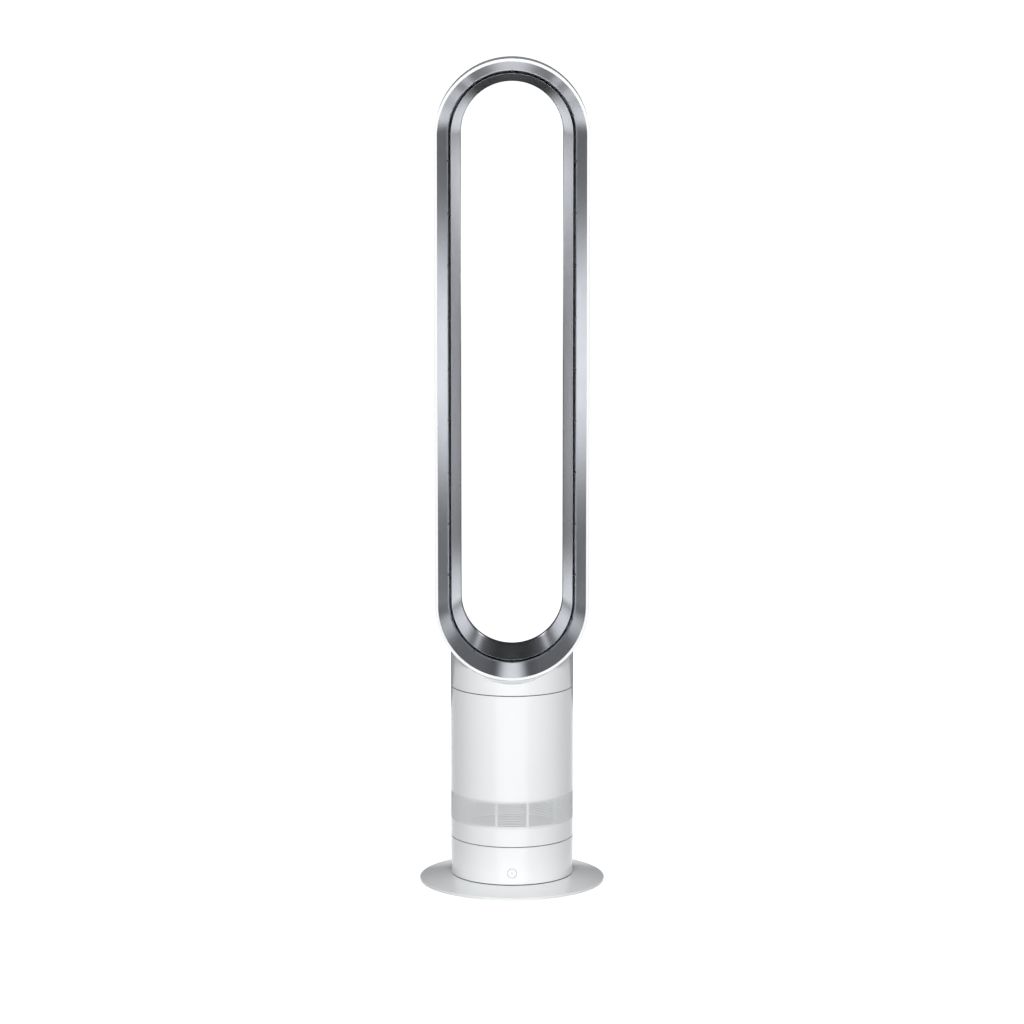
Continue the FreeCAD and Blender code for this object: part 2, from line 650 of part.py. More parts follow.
def lower_casing():
    """Outer casing of the fixed lower body, with its seal and the rubber gland for the mains lead."""
    seal_out = BODY_R - SEAL_INSET
    save("lower_casing_seal", tube(BODY_IN, seal_out, Z_HUB, Z_LOWER))
    casing = tube(BODY_IN, BODY_R, Z_LOWER, Z_LOWER_TOP)
    ledge = tube(BODY_IN - LEDGE_WIDTH, BODY_IN, Z_DECK_BOTTOM - LEDGE_THICKNESS, Z_DECK_BOTTOM)
    casing = casing.fuse(ledge).removeSplitter()
    hole = BUTTON_DIAMETER / 2 + BUTTON_PLAY
    casing = casing.cut(rod_y(hole, -BODY_R - 1, -BODY_IN + LEDGE_WIDTH, BUTTON_HEIGHT))
    gland_hole = GLAND_RADIUS + SLIP
    casing = casing.cut(rod_y(gland_hole, BODY_IN - LEDGE_WIDTH, BODY_R + 1, GLAND_HEIGHT))
    save("lower_casing", casing)

    flange = GLAND_RADIUS + GLAND_FLANGE
    inner_face = math.sqrt(BODY_IN ** 2 - flange ** 2)
    back = BODY_R + GLAND_LIP
    gland = rod_y(GLAND_RADIUS, inner_face - GLAND_LIP, back, GLAND_HEIGHT)
    gland = gland.fuse(rod_y(flange, BODY_R, back, GLAND_HEIGHT))
    gland = gland.fuse(rod_y(flange, inner_face - GLAND_LIP, inner_face, GLAND_HEIGHT))
    gland = gland.cut(rod_y(CORD_BORE, inner_face - GLAND_LIP, back, GLAND_HEIGHT))
    save("cord_gland", gland.removeSplitter())


def controls():
    """Button, switch, control board and mains board."""
    radius = BUTTON_DIAMETER / 2
    flange_front = -math.sqrt(BODY_IN ** 2 - (radius + BUTTON_FLANGE) ** 2) + BUTTON_PLAY
    cap = rod_y(radius, -BODY_R - 1, flange_front, BUTTON_HEIGHT)
    cap = cap.common(cylinder(BODY_R, 0, Z_LOWER_TOP))
    flange = rod_y(radius + BUTTON_FLANGE, flange_front, flange_front + BUTTON_FLANGE, BUTTON_HEIGHT)
    stem = rod_y(BUTTON_STEM, flange_front, PLUNGER_Y, BUTTON_HEIGHT)
    save("power_button", cap.fuse([flange, stem]).removeSplitter())
    save("switch_plunger", rod_y(PLUNGER_RADIUS, PLUNGER_Y, SWITCH_Y - RUNNING_PLAY, BUTTON_HEIGHT))

    half = SWITCH_SIZE / 2
    switch = box(-half, half, SWITCH_Y, BOARD_Y, BUTTON_HEIGHT - half, BUTTON_HEIGHT + half)
    well = rod_y(PLUNGER_RADIUS + RUNNING_PLAY, SWITCH_Y, SWITCH_Y + 1.5 * BUTTON_TRAVEL, BUTTON_HEIGHT)
    save("tactile_switch", switch.cut(well))
    board = box(-BOARD_WIDTH / 2, BOARD_WIDTH / 2, BOARD_Y, BOARD_Y + BOARD_THICKNESS,
                Z_HUB, Z_HUB + BOARD_HEIGHT)
    save("control_board", board)
    x = BOARD_WIDTH / 4
    z = BUTTON_HEIGHT
    save("signal_receiver", box(x, x + SWITCH_SIZE, SWITCH_Y, BOARD_Y, z, z + SWITCH_SIZE))

    low = Z_HUB + MAINS_STANDOFF
    top = low + BOARD_THICKNESS
    shift = mains_shift()
    w, d = MAINS_BOARD[0] / 2, MAINS_BOARD[1] / 2
    save("mains_board", box(-w, w, shift - d, shift + d, low, top))
    left = -w + 8
    back = shift + d - 8
    parts = [box(left, left + TRANSFORMER[0], shift - 10, shift - 10 + TRANSFORMER[1],
                 top, top + TRANSFORMER[2])]
    parts += [cylinder(CAPACITOR_RADIUS, top, top + CAPACITOR_HEIGHT, x, back) for x in (w - 20, w - 9)]
    parts.append(box(w - 6 - RELAY[0], w - 6, shift - 3 - RELAY[1], shift - 3, top, top + RELAY[2]))
    save("mains_components", parts)


def deck():
    """Plate over the lower body that carries the race, the bush and the drive motor."""
    plate = cylinder(BODY_IN - SLIP, Z_DECK_BOTTOM, Z_DECK)
    plate = plate.cut(cylinder(BUSH_OUT, Z_DECK_BOTTOM, Z_DECK))
    plate = plate.cut(cylinder(DRIVE_SHAFT_RADIUS + 1, Z_DECK_BOTTOM, Z_DECK, PINION_X, 0))
    screws = []
    for x, y in post_places():
        plate = plate.cut(cylinder(SCREW_RADIUS + SCREW_PLAY, Z_DECK_BOTTOM, Z_DECK, x, y))
        screws.append(screw(Z_DECK, 4 * DECK_THICKNESS, x, y))
    save("deck", plate)
    save("deck_screws", screws)
    bush = tube(BUSH_IN, BUSH_OUT, Z_DECK_BOTTOM - 1, Z_DECK + 1.5)
    bush = bush.fuse(tube(BUSH_IN, BUSH_OUT + BUSH_FLANGE, Z_DECK, Z_DECK + 1.5)).removeSplitter()
    save("pivot_bush", bush)
    motor = cylinder(DRIVE_MOTOR_RADIUS, Z_DECK_BOTTOM - DRIVE_MOTOR_HEIGHT, Z_DECK_BOTTOM, PINION_X, 0)
    bore = cylinder(DRIVE_SHAFT_RADIUS + RUNNING_PLAY, Z_DECK_BOTTOM - 6, Z_DECK_BOTTOM, PINION_X, 0)
    save("swivel_motor", motor.cut(bore))


def swivel_gears():
    """Motor pinion, and the ring gear that it drives round from inside."""
    module = GEAR_MODULE
    half = math.pi * module / 4 - GEAR_BACKLASH / 4
    pinion = gear_outline(PINION_TEETH, PINION_PITCH + module, PINION_PITCH - 1.25 * module, half)
    pinion = pinion.extrude(V(0, 0, GEAR_FACE))
    pinion.translate(V(PINION_X, 0, Z_GEAR))
    shaft = cylinder(DRIVE_SHAFT_RADIUS, Z_DECK_BOTTOM - 5.5, Z_GEAR + 1, PINION_X, 0)
    save("drive_pinion", pinion.fuse(shaft).removeSplitter())

    space = math.pi * module / 4 + GEAR_BACKLASH / 4
    root = RING_PITCH + 1.25 * module
    cutter = gear_outline(RING_TEETH, root, RING_PITCH - 0.65 * module, space)
    cutter = cutter.extrude(V(0, 0, Z_TABLE_BOTTOM - Z_GEAR))
    cutter.translate(V(0, 0, Z_GEAR))
    save("ring_gear", cylinder(root + RING_RIM, Z_GEAR, Z_TABLE_BOTTOM).cut(cutter))


def ball_race():
    """Thrust bearing: two grooved races, a cage and its balls."""
    half = RACE_WIDTH / 2
    ring_in, ring_out = BALL_CIRCLE - half, BALL_CIRCLE + half
    groove = Part.makeTorus(BALL_CIRCLE, BALL_DIAMETER / 2 + RUNNING_PLAY, V(0, 0, Z_BALL))
    save("lower_race", tube(ring_in, ring_out, Z_DECK, Z_DECK + RACE_THICKNESS).cut(groove))
    save("upper_race", tube(ring_in, ring_out, Z_UPPER_RACE, Z_TABLE_SEAT).cut(groove))
    balls = around(Part.makeSphere(BALL_DIAMETER / 2, V(BALL_CIRCLE, 0, Z_BALL)), BALL_COUNT)
    save("race_balls", balls)
    z0, z1 = Z_BALL - CAGE_THICKNESS / 2, Z_BALL + CAGE_THICKNESS / 2
    cage = tube(BALL_CIRCLE - CAGE_WIDTH / 2, BALL_CIRCLE + CAGE_WIDTH / 2, z0, z1)
    for pocket in around(cylinder(BALL_DIAMETER / 2 + RUNNING_PLAY, z0, z1, BALL_CIRCLE, 0), BALL_COUNT):
        cage = cage.cut(pocket)
    save("ball_cage", cage)


def turntable():
    """Plate under the main body, its hub tube and the clip that keeps it down."""
    tube_in = HUB_TUBE_RADIUS - HUB_TUBE_WALL
    plate = cylinder(BODY_IN - SLIP, Z_MAIN, Z_TABLE).fuse(
        cylinder(BODY_IN - SWIVEL_PLAY, Z_TABLE_BOTTOM, Z_MAIN))
    half = RACE_WIDTH / 2
    plate = plate.fuse(tube(BALL_CIRCLE - half, BALL_CIRCLE + half, Z_TABLE_SEAT, Z_TABLE_BOTTOM))
    plate = plate.fuse(cylinder(HUB_TUBE_RADIUS, Z_TUBE_END, Z_TABLE_BOTTOM))
    plate = plate.cut(cylinder(tube_in, Z_TUBE_END, Z_TABLE))
    groove_z = Z_CLIP_TOP - CLIP_THICKNESS
    groove_r = HUB_TUBE_RADIUS - CLIP_THICKNESS
    plate = plate.cut(tube(groove_r, HUB_TUBE_RADIUS + 1, groove_z, Z_CLIP_TOP))
    hole = cylinder(SCREW_RADIUS, Z_TABLE_BOTTOM, Z_TABLE, TABLE_SCREW_CIRCLE, 0)
    for bore in around(hole, POST_COUNT):
        plate = plate.cut(bore)
    save("turntable", plate.removeSplitter())
    save("retaining_clip", tube(groove_r, HUB_TUBE_RADIUS + CLIP_REACH, groove_z, Z_CLIP_TOP))
    one = screw(Z_TABLE_LEDGE, Z_TABLE_LEDGE - Z_TABLE_BOTTOM, TABLE_SCREW_CIRCLE, 0)
    save("turntable_screws", around(one, POST_COUNT))


# ---- Main body -----------------------------------------------------------------------------------
def main_casing():
    """Tall casing with windows behind the perforated band."""
    casing = tube(BODY_IN, BODY_R, Z_MAIN, Z_MAIN_TOP)
    ledge_in = BODY_IN - TABLE_LEDGE_WIDTH
    casing = casing.fuse(tube(ledge_in, BODY_IN, Z_TABLE, Z_TABLE_LEDGE)).removeSplitter()
    hole = cylinder(SCREW_RADIUS + SCREW_PLAY, Z_TABLE, Z_TABLE_LEDGE, TABLE_SCREW_CIRCLE, 0)
    for bore in around(hole, POST_COUNT):
        casing = casing.cut(bore)
    seat_r = BODY_R - GRILLE_THICKNESS
    casing = casing.cut(tube(seat_r, BODY_R + 1, Z_INLET, Z_INLET_TOP))
    half = math.radians(180.0 / WINDOW_COUNT * WINDOW_SHARE)
    far = BODY_R + 5
    wedge = Part.makePolygon([V(0, 0, 0), V(far, -far * math.tan(half), 0),
                              V(far, far * math.tan(half), 0), V(0, 0, 0)])
    margin = BODY_WALL
    window = Part.Face(wedge).extrude(V(0, 0, INLET_HEIGHT - 2 * margin))
    window.translate(V(0, 0, Z_INLET + margin))
    for opening in around(window, WINDOW_COUNT):
        casing = casing.cut(opening)
    z = Z_MAIN_TOP - RETAINING_SCREW_DROP
    casing = casing.cut(rod_y(SCREW_RADIUS + SCREW_PLAY / 2, 0, BODY_R + 1, z))
    head_seat = BODY_R - FLAT_HEAD_HEIGHT - SLIP
    casing = casing.cut(rod_y(SCREW_HEAD_RADIUS + SCREW_PLAY / 2, head_seat, BODY_R + 1, z))
    save("main_casing", casing)


def inlet_band():
    """Perforated band, with fewer and larger ports than the real pinholes, and the foam below the blower."""
    band = tube(BODY_R - GRILLE_THICKNESS, BODY_R, Z_INLET, Z_INLET_TOP)
    pitch = INLET_HEIGHT / GRILLE_ROWS
    ports = []
    for row in range(GRILLE_ROWS):
        z = Z_INLET + pitch * (row + 0.5)
        port = Part.makeCylinder(GRILLE_PORT_RADIUS, 3 * GRILLE_THICKNESS,
                                 V(BODY_R - 2 * GRILLE_THICKNESS, 0, z), V(1, 0, 0))
        stagger = 180.0 / GRILLE_COLUMNS * (row % 2)
        ports += around(port, GRILLE_COLUMNS, stagger)
    save("inlet_grille", band.cut(Part.makeCompound(ports)))
    foam_in = HUB_TUBE_RADIUS + HUB_TUBE_WALL
    foam_out = BODY_IN - TABLE_LEDGE_WIDTH - FOAM_PLAY
    save("floor_foam", tube(foam_in, foam_out, Z_TABLE, Z_TABLE + FLOOR_FOAM_THICKNESS))


def housing():
    """Blower housing with its bellmouth, posts, rubber mounts and lip seal."""
    wall = HOUSING_WALL
    seal = BODY_IN - 2 * SEAL_INSET
    shell = lathe([(BLOWER_MOUTH, Z_MOUTH), (BLOWER_MOUTH + wall, Z_MOUTH), (HOUSING_R, Z_CONE_TOP),
                   (HOUSING_R, Z_HOUSING_TOP - wall), (seal, Z_HOUSING_TOP - wall), (seal, Z_HOUSING_TOP),
                   (HOUSING_R - wall, Z_HOUSING_TOP), (HOUSING_R - wall, Z_CONE_TOP)])
    half = LUG_WIDTH / 2
    lug = box(HOUSING_R - wall / 2, SUPPORT_CIRCLE, -half, half, Z_LUG, Z_LUG + LUG_THICKNESS)
    lug = lug.fuse(cylinder(SUPPORT_RADIUS, Z_LUG, Z_LUG + LUG_THICKNESS, SUPPORT_CIRCLE, 0))
    shell = shell.fuse(around(lug, SUPPORT_COUNT, SUPPORT_TURN))
    save("blower_housing", shell.removeSplitter())
    save("housing_seal", tube(seal, BODY_IN, Z_HOUSING_TOP - wall, Z_HOUSING_TOP + wall))
    post = cylinder(SUPPORT_RADIUS, Z_TABLE_LEDGE, Z_CONE_TOP, SUPPORT_CIRCLE, 0)
    save("support_posts", around(post, SUPPORT_COUNT, SUPPORT_TURN))
    pad = cylinder(SUPPORT_RADIUS, Z_CONE_TOP, Z_LUG, SUPPORT_CIRCLE, 0)
    save("rubber_mounts", around(pad, SUPPORT_COUNT, SUPPORT_TURN))
    mouth = BLOWER_MOUTH
    flare = MOUTH_FLARE
    drop = Z_MOUTH - 0.6 * flare
    save("bellmouth", lathe([(mouth, Z_MOUTH), (mouth + wall, Z_MOUTH),
                             (mouth + 0.45 * flare, Z_MOUTH - 0.4 * flare), (mouth + flare, drop),
                             (mouth + flare, drop - wall), (mouth + 0.3 * flare, drop)]))


def shroud_radius(z):
    """Inside of the housing at a height in its cone, less the running gap of the impeller."""
    share = (z - Z_MOUTH) / (Z_CONE_TOP - Z_MOUTH)
    wide = HOUSING_R - HOUSING_WALL
    return BLOWER_MOUTH + share * (wide - BLOWER_MOUTH) - TIP_PLAY


def impeller():
    """Mixed-flow impeller: hub, swept blades and the shroud round their tips."""
    z0, z1 = Z_MOUTH + 2, Z_CONE_TOP - 1
    hub = lathe([(SHAFT_RADIUS, z0), (HUB_NOSE, z0), (HUB_NOSE + 4, z0 + 10), (HUB_TAIL, z1 - 4),
                 (HUB_TAIL, z1 - 2), (SHAFT_RADIUS, z1 - 2)])
    wall = SHROUD_WALL
    shroud = lathe([(shroud_radius(z0) - wall, z0), (shroud_radius(z0), z0), (shroud_radius(z1), z1),
                    (shroud_radius(z1) - wall, z1)])
    room = lathe([(HUB_NOSE - 1, z0), (shroud_radius(z0) - wall / 2, z0), (shroud_radius(z1) - wall / 2, z1),
                  (HUB_TAIL - 1, z1), (HUB_TAIL - 1, z1 - 4), (HUB_NOSE + 3, z0 + 10)])
    sweep = BLADE_SWEEP
    arc = tube(sweep - BLADE_THICKNESS / 2, sweep + BLADE_THICKNESS / 2, z0, z1, HUB_NOSE - 4 + sweep, 0)
    far = 2 * HOUSING_R
    arc = arc.common(box(0, far, 0, far, z0, z1))
    blade = arc.common(room)
    fused = hub.fuse([shroud] + around(blade, BLADE_COUNT))
    save("impeller", max(fused.Solids, key=lambda s: s.Volume))
    top = Z_BUCKET_TOP - BUCKET_DOME
    save("motor_shaft", cylinder(SHAFT_RADIUS, z0 - 6, top))
    save("impeller_nut", tube(SHAFT_RADIUS, 2 * SHAFT_RADIUS, z0 - 4, z0))


def motor():
    """Brushless motor in its bucket, with the swirl-straightening vanes round it."""
    wall = BUCKET_WALL
    boss = BEARING_RADIUS + wall
    outside, inside = BUCKET_RADIUS, BUCKET_RADIUS - wall
    seat = Z_BUCKET + BEARING_HEIGHT
    save("motor_bucket_lower", lathe([
        (BEARING_RADIUS, Z_BUCKET), (HUB_TAIL, Z_BUCKET), (outside, Z_BUCKET + 3), (outside, Z_BUCKET_JOINT),
        (inside, Z_BUCKET_JOINT), (inside, Z_BUCKET + 3 + wall / 2), (HUB_TAIL - wall / 2, Z_BUCKET + wall),
        (boss, Z_BUCKET + wall), (boss, seat), (BEARING_RADIUS, seat)]))
    shoulder = Z_BUCKET_TOP - BUCKET_DOME
    low, high = shoulder - BEARING_HEIGHT, shoulder
    crown_r, crown_z = 0.8 * BUCKET_RADIUS, shoulder + 0.7 * BUCKET_DOME
    upper = lathe([
        (outside, Z_BUCKET_JOINT), (outside, shoulder), (crown_r, crown_z), (0, Z_BUCKET_TOP),
        (0, Z_BUCKET_TOP - wall), (crown_r - wall, crown_z - wall), (inside, shoulder - wall),
        (inside, Z_BUCKET_JOINT)])
    bridge = tube(BEARING_RADIUS, BUCKET_RADIUS - wall / 2, low, low + wall)
    upper = upper.fuse([bridge, tube(BEARING_RADIUS, boss, low, high)])
    for slot in around(box(boss + 4, STATOR_RADIUS, -4, 4, low, low + wall), POLE_COUNT):
        upper = upper.cut(slot)
    save("motor_bucket_upper", upper.removeSplitter())
    save("motor_bearings", [tube(SHAFT_RADIUS + RUNNING_PLAY / 2, BEARING_RADIUS, z, z + BEARING_HEIGHT)
                            for z in (Z_BUCKET, low)])
    foam_in, foam_out = boss + FOAM_PLAY, crown_r - wall - FOAM_PLAY
    save("bucket_foam", tube(foam_in, foam_out, low + wall, shoulder + BUCKET_DOME / 3))
    save("rotor_magnet", tube(SHAFT_RADIUS, MAGNET_RADIUS, Z_STATOR, Z_STATOR + STATOR_HEIGHT))
    core = tube(STATOR_RADIUS - STATOR_BACK, STATOR_RADIUS, Z_STATOR, Z_STATOR + STATOR_HEIGHT)
    bore = MAGNET_RADIUS + AIR_GAP
    half = POLE_WIDTH / 2
    top = Z_STATOR + STATOR_HEIGHT
    pole = box(bore - 1, STATOR_RADIUS - 1, -half, half, Z_STATOR, top)
    core = core.fuse(around(pole, POLE_COUNT)).cut(cylinder(bore, Z_STATOR, top))
    save("stator_core", core.removeSplitter())
    coil_in, coil_out = bore + 2, STATOR_RADIUS - STATOR_BACK - 0.8
    swell = half + COIL_BULGE
    coil = box(coil_in, coil_out, -swell, swell, Z_STATOR - COIL_BULGE, top + COIL_BULGE)
    coil = coil.cut(box(coil_in, coil_out, -half, half, Z_STATOR, top))
    save("stator_coils", around(coil, POLE_COUNT))
    save("motor_board", tube(boss, inside - SLIP, low - BOARD_THICKNESS, low))

    z0 = Z_BUCKET_JOINT
    vane_top = z0 + VANE_HEIGHT
    inner, outer = BUCKET_RADIUS, HOUSING_R - HOUSING_WALL
    ring_wall = VANE_RING_WALL
    half = VANE_THICKNESS / 2
    vane = box(inner + ring_wall / 2, outer - ring_wall / 2, -half, half, z0, vane_top)
    vane.rotate(V(0, 0, (z0 + vane_top) / 2), V(1, 0, 0), VANE_LEAN)
    cage = tube(inner, outer, z0, vane_top)
    vanes = [v.common(cage) for v in around(vane, VANE_COUNT)]
    rings = [tube(inner, inner + ring_wall, z0, vane_top), tube(outer - ring_wall, outer, z0, vane_top)]
    save("diffuser_vanes", rings[0].fuse(rings[1:] + vanes))


# ---- Neck and loop -------------------------------------------------------------------------------
def neck():
    """Saddle that joins the round body to the loop, its seal, screw and air guides."""
    save("neck_seal", tube(BODY_IN, BODY_R - SEAL_INSET, Z_MAIN_TOP, Z_NECK))
    top = Z_LOW_ARC
    spigot = BODY_IN - SLIP
    saddle = cylinder(BODY_R, Z_NECK, top).cut(loop_envelope(PANEL_GAP))
    hollow = cylinder(BODY_IN, Z_NECK, top).cut(loop_envelope(PANEL_GAP + BODY_WALL))
    shell = saddle.cut(hollow).cut(air_passage())
    shell = max(shell.Solids, key=lambda s: s.Volume)
    collar = tube(spigot - SPIGOT_WALL, spigot, Z_MAIN_TOP - SPIGOT_DEPTH, Z_NECK + BODY_WALL)
    collar = collar.fuse(tube(spigot - SPIGOT_WALL, BODY_IN + BODY_WALL / 2, Z_NECK, Z_NECK + BODY_WALL))
    shell = shell.fuse(collar)
    z = Z_MAIN_TOP - RETAINING_SCREW_DROP
    shell = shell.cut(rod_y(SCREW_RADIUS, 0, BODY_R, z))
    save("neck", shell.removeSplitter())

    head_seat = BODY_R - FLAT_HEAD_HEIGHT - SLIP
    tip = spigot - SPIGOT_WALL - 1
    bolt = rod_y(SCREW_HEAD_RADIUS, head_seat, head_seat + FLAT_HEAD_HEIGHT, z)
    bolt = bolt.fuse(rod_y(SCREW_RADIUS, tip, head_seat, z))
    face = head_seat + FLAT_HEAD_HEIGHT
    for across, along in ((SCREW_RADIUS, CROSS_SLOT), (CROSS_SLOT, SCREW_RADIUS)):
        bolt = bolt.cut(box(-across, across, face - CROSS_DEPTH, face, z - along, z + along))
    save("neck_screw", bolt.removeSplitter())

    y0, y1 = Y_CREASE + 2 * RING_WALL, Y_BACK - PASSAGE_BACK
    guides = []
    base = Z_LOOP + LOOP_WALL
    for side in (-1, 1):
        x = side * (GUIDE_SPREAD + GUIDE_RADIUS)
        low, high = base - GUIDE_RADIUS / 2, base + GUIDE_RADIUS
        ring = rod_y(GUIDE_RADIUS, y0, y1, low, x).cut(rod_y(GUIDE_RADIUS - GUIDE_THICKNESS, y0, y1, low, x))
        near, far = sorted((side * GUIDE_SPREAD * 0.5, x))
        guides.append(ring.common(box(near, far, y0, y1, low, high)))
    save("air_guides", guides)


def loop():
    """The skins of the air loop, the slot's ribs and the seal. The inner ring is moulded in two halves."""
    shell = racetrack(outer_shell_section()).cut(air_passage())
    save("loop_casing", shell)
    save("loop_rear_cover", racetrack(rear_cover_section()))
    ring = racetrack(inner_ring_section())
    for name, z0, z1 in (("loop_inner_ring_lower", 0, Z_RING_JOINT),
                         ("loop_inner_ring_upper", Z_RING_JOINT, OVERALL_HEIGHT)):
        save(name, ring.common(box(-LOOP_R, LOOP_R, Y_FRONT, Y_BACK, z0, z1)))
    save("loop_front_ring", racetrack(front_ring_section()))
    save("slot_spacers", slot_spacers())
    wall = thinner(OUTER_OVAL, LOOP_WALL)
    y0, y1 = Y_SEAM - JOINT_SEAL_DEPTH / 2, Y_SEAM + JOINT_SEAL_DEPTH / 2
    outer = oval_point(*wall, math.asin((y1 - wall[0][1]) / wall[1][1])).x
    inner = outer - JOINT_SEAL_WIDTH
    seal = path([(inner, y0), (outer, y0), (outer, y1), (inner, y1), (inner, y0)])
    save("loop_seam_seal", racetrack(Part.Face(Part.Wire(seal))))


def main():
    os.makedirs("parts", exist_ok=True)
    for make in (floor_disc, lower_casing, controls, deck, swivel_gears, ball_race, turntable,
                 main_casing, inlet_band, housing, impeller, motor, neck, loop):
        make()


main()
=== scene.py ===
"""Bladeless tower fan: the pieces that show, their finishes and a plain studio.

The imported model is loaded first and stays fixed. Each operator below builds one piece, or one group of
like pieces, in metres and in the model's own frame, and says which of its nodes the piece stands for.
"""

from functools import partial
import math

import bmesh
import bpy
from bpy.props import FloatProperty, FloatVectorProperty, IntProperty, PointerProperty
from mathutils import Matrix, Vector


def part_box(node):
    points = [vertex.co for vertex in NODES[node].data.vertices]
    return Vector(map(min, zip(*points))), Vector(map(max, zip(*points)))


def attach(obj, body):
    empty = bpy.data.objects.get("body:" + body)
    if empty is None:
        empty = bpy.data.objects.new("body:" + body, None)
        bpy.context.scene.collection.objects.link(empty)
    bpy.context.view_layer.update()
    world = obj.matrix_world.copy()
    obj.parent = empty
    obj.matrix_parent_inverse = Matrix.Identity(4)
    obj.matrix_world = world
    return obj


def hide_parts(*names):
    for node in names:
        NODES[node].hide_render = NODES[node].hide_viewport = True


bl_info = {
    "name": "Tower Fan Pieces",
    "version": (1, 0, 0),
    "blender": (4, 5, 0),
    "location": "3D View > Sidebar > Tower Fan",
    "description": "Builds the visible pieces of a bladeless tower fan, their finishes and a studio",
    "category": "Add Mesh",
}

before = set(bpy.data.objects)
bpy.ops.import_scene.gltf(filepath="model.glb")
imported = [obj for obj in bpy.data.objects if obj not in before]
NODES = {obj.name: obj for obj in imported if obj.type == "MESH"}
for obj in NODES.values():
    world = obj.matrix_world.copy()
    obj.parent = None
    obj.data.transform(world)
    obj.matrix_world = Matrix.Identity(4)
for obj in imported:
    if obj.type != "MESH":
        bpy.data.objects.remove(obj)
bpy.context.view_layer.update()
MM = 0.001

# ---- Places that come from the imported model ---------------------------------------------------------
CASING_LOW, CASING_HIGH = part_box("loop_casing")
LOOP_R = CASING_HIGH.x
Z_LOW_ARC = CASING_LOW.z + LOOP_R
Z_HIGH_ARC = CASING_HIGH.z - LOOP_R
Y_FRONT = CASING_LOW.y
Y_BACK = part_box("loop_rear_cover")[1].y
MAIN_LOW, MAIN_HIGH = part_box("main_casing")
BODY_R = MAIN_HIGH.x
LOWER_LOW, LOWER_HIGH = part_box("lower_casing")
BAND_LOW, BAND_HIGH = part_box("inlet_grille")
DISC_LOW, DISC_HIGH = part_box("base_disc")
BUTTON_LOW, BUTTON_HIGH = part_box("power_button")
BUTTON_Z = (BUTTON_LOW.z + BUTTON_HIGH.z) / 2
GLAND_LOW, GLAND_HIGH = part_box("cord_gland")
SCREW_LOW, SCREW_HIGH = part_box("neck_screw")
NECK_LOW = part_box("neck")[0]
DECK_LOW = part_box("deck")[0]
TABLE_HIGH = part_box("turntable")[1]

# ---- Fixed proportions of the skins -----------------------------------------------------------------
BODY_WALL = 2.5 * MM
BODY_IN = BODY_R - BODY_WALL
LOOP_WALL = 2.5 * MM
RING_WALL = 1.8 * MM
SLIP = 0.15 * MM
PANEL_GAP = 0.15 * MM
SEAM_GAP = 1.1 * MM
LEDGE_WIDTH = 2.5 * MM
LEDGE_THICKNESS = 2.2 * MM
TABLE_LEDGE_WIDTH = 8.0 * MM
SPIGOT_WALL = 2.4 * MM
POST_INSET = 15.0 * MM
Y_SHOULDER = Y_BACK - 67.0 * MM
Y_THROAT = Y_BACK - 31.0 * MM
Y_SEAM = Y_BACK - 23.0 * MM
Y_CREASE = Y_FRONT + 33.0 * MM
NOSE_R = LOOP_R - 16.5 * MM
RIM_R = LOOP_R - 3.5 * MM
RIM_LIP = 2.5 * MM
CREASE_R = RIM_R - 13.35 * MM
LIP_R = CREASE_R - 2.7 * MM
LIP_THICKNESS = 1.4 * MM
RING_RECESS = 0.4 * MM
THROAT_ROUND = 30.0 * MM
MERGE_GAP = 1e-6
SHARP_ANGLE = math.radians(32)
BEVEL_ANGLE = math.radians(50)
HOLE_RINGS = (0.5, 0.8, 1.0)
OUTER_OVAL = ((NOSE_R, Y_SHOULDER), (LOOP_R - NOSE_R, Y_BACK - Y_SHOULDER))


# ---- Settings that a user would change --------------------------------------------------------------
def length(name, description, value):
    return FloatProperty(name=name, description=description, default=value, unit="LENGTH")


def amount(name, description, value, subtype="NONE"):
    return FloatProperty(name=name, description=description, default=value, subtype=subtype)


def count(name, description, value, least):
    return IntProperty(name=name, description=description, default=value, min=least)


def colour(name, description, value):
    return FloatVectorProperty(name=name, description=description, default=value, subtype="COLOR",
                               min=0.0, max=1.0)


class FanSizes(bpy.types.PropertyGroup):
    """Sizes of the visible pieces."""
    opening_width: length("Opening Width", "Clear width through the loop", 123 * MM)
    rim_round: length("Rim Round", "Round on the loop casing's front rim", 0.8 * MM)
    seam_round: length("Seam Round", "Round on the casings' edges at each seam", 0.3 * MM)
    neck_round: length("Neck Round", "Round on the neck's top edge", 0.9 * MM)
    arc_steps: count("Arc Steps", "Steps in each half circle of the loop", 96, 12)
    hole_radius: length("Hole Radius", "Radius of the inlet band's holes", 0.8 * MM)
    hole_columns: count("Hole Columns", "Holes round each row of the inlet band", 196, 12)
    hole_rows: count("Hole Rows", "Rows of holes in the inlet band", 16, 2)
    band_thickness: length("Band Thickness", "Thickness of the inlet band", 1.0 * MM)


class FanColours(bpy.types.PropertyGroup):
    """Colours of the finishes that show."""
    white: colour("White", "Gloss white of the casings", (0.87, 0.875, 0.88))
    silver: colour("Silver", "Silver lacquer inside the loop", (0.76, 0.775, 0.81))
    band: colour("Inlet Band", "Coated perforated sheet", (0.80, 0.81, 0.82))
    seal: colour("Seals", "Soft seals between the casings", (0.055, 0.058, 0.062))
    mark: colour("Button Mark", "Standby sign on the button", (0.30, 0.31, 0.33))


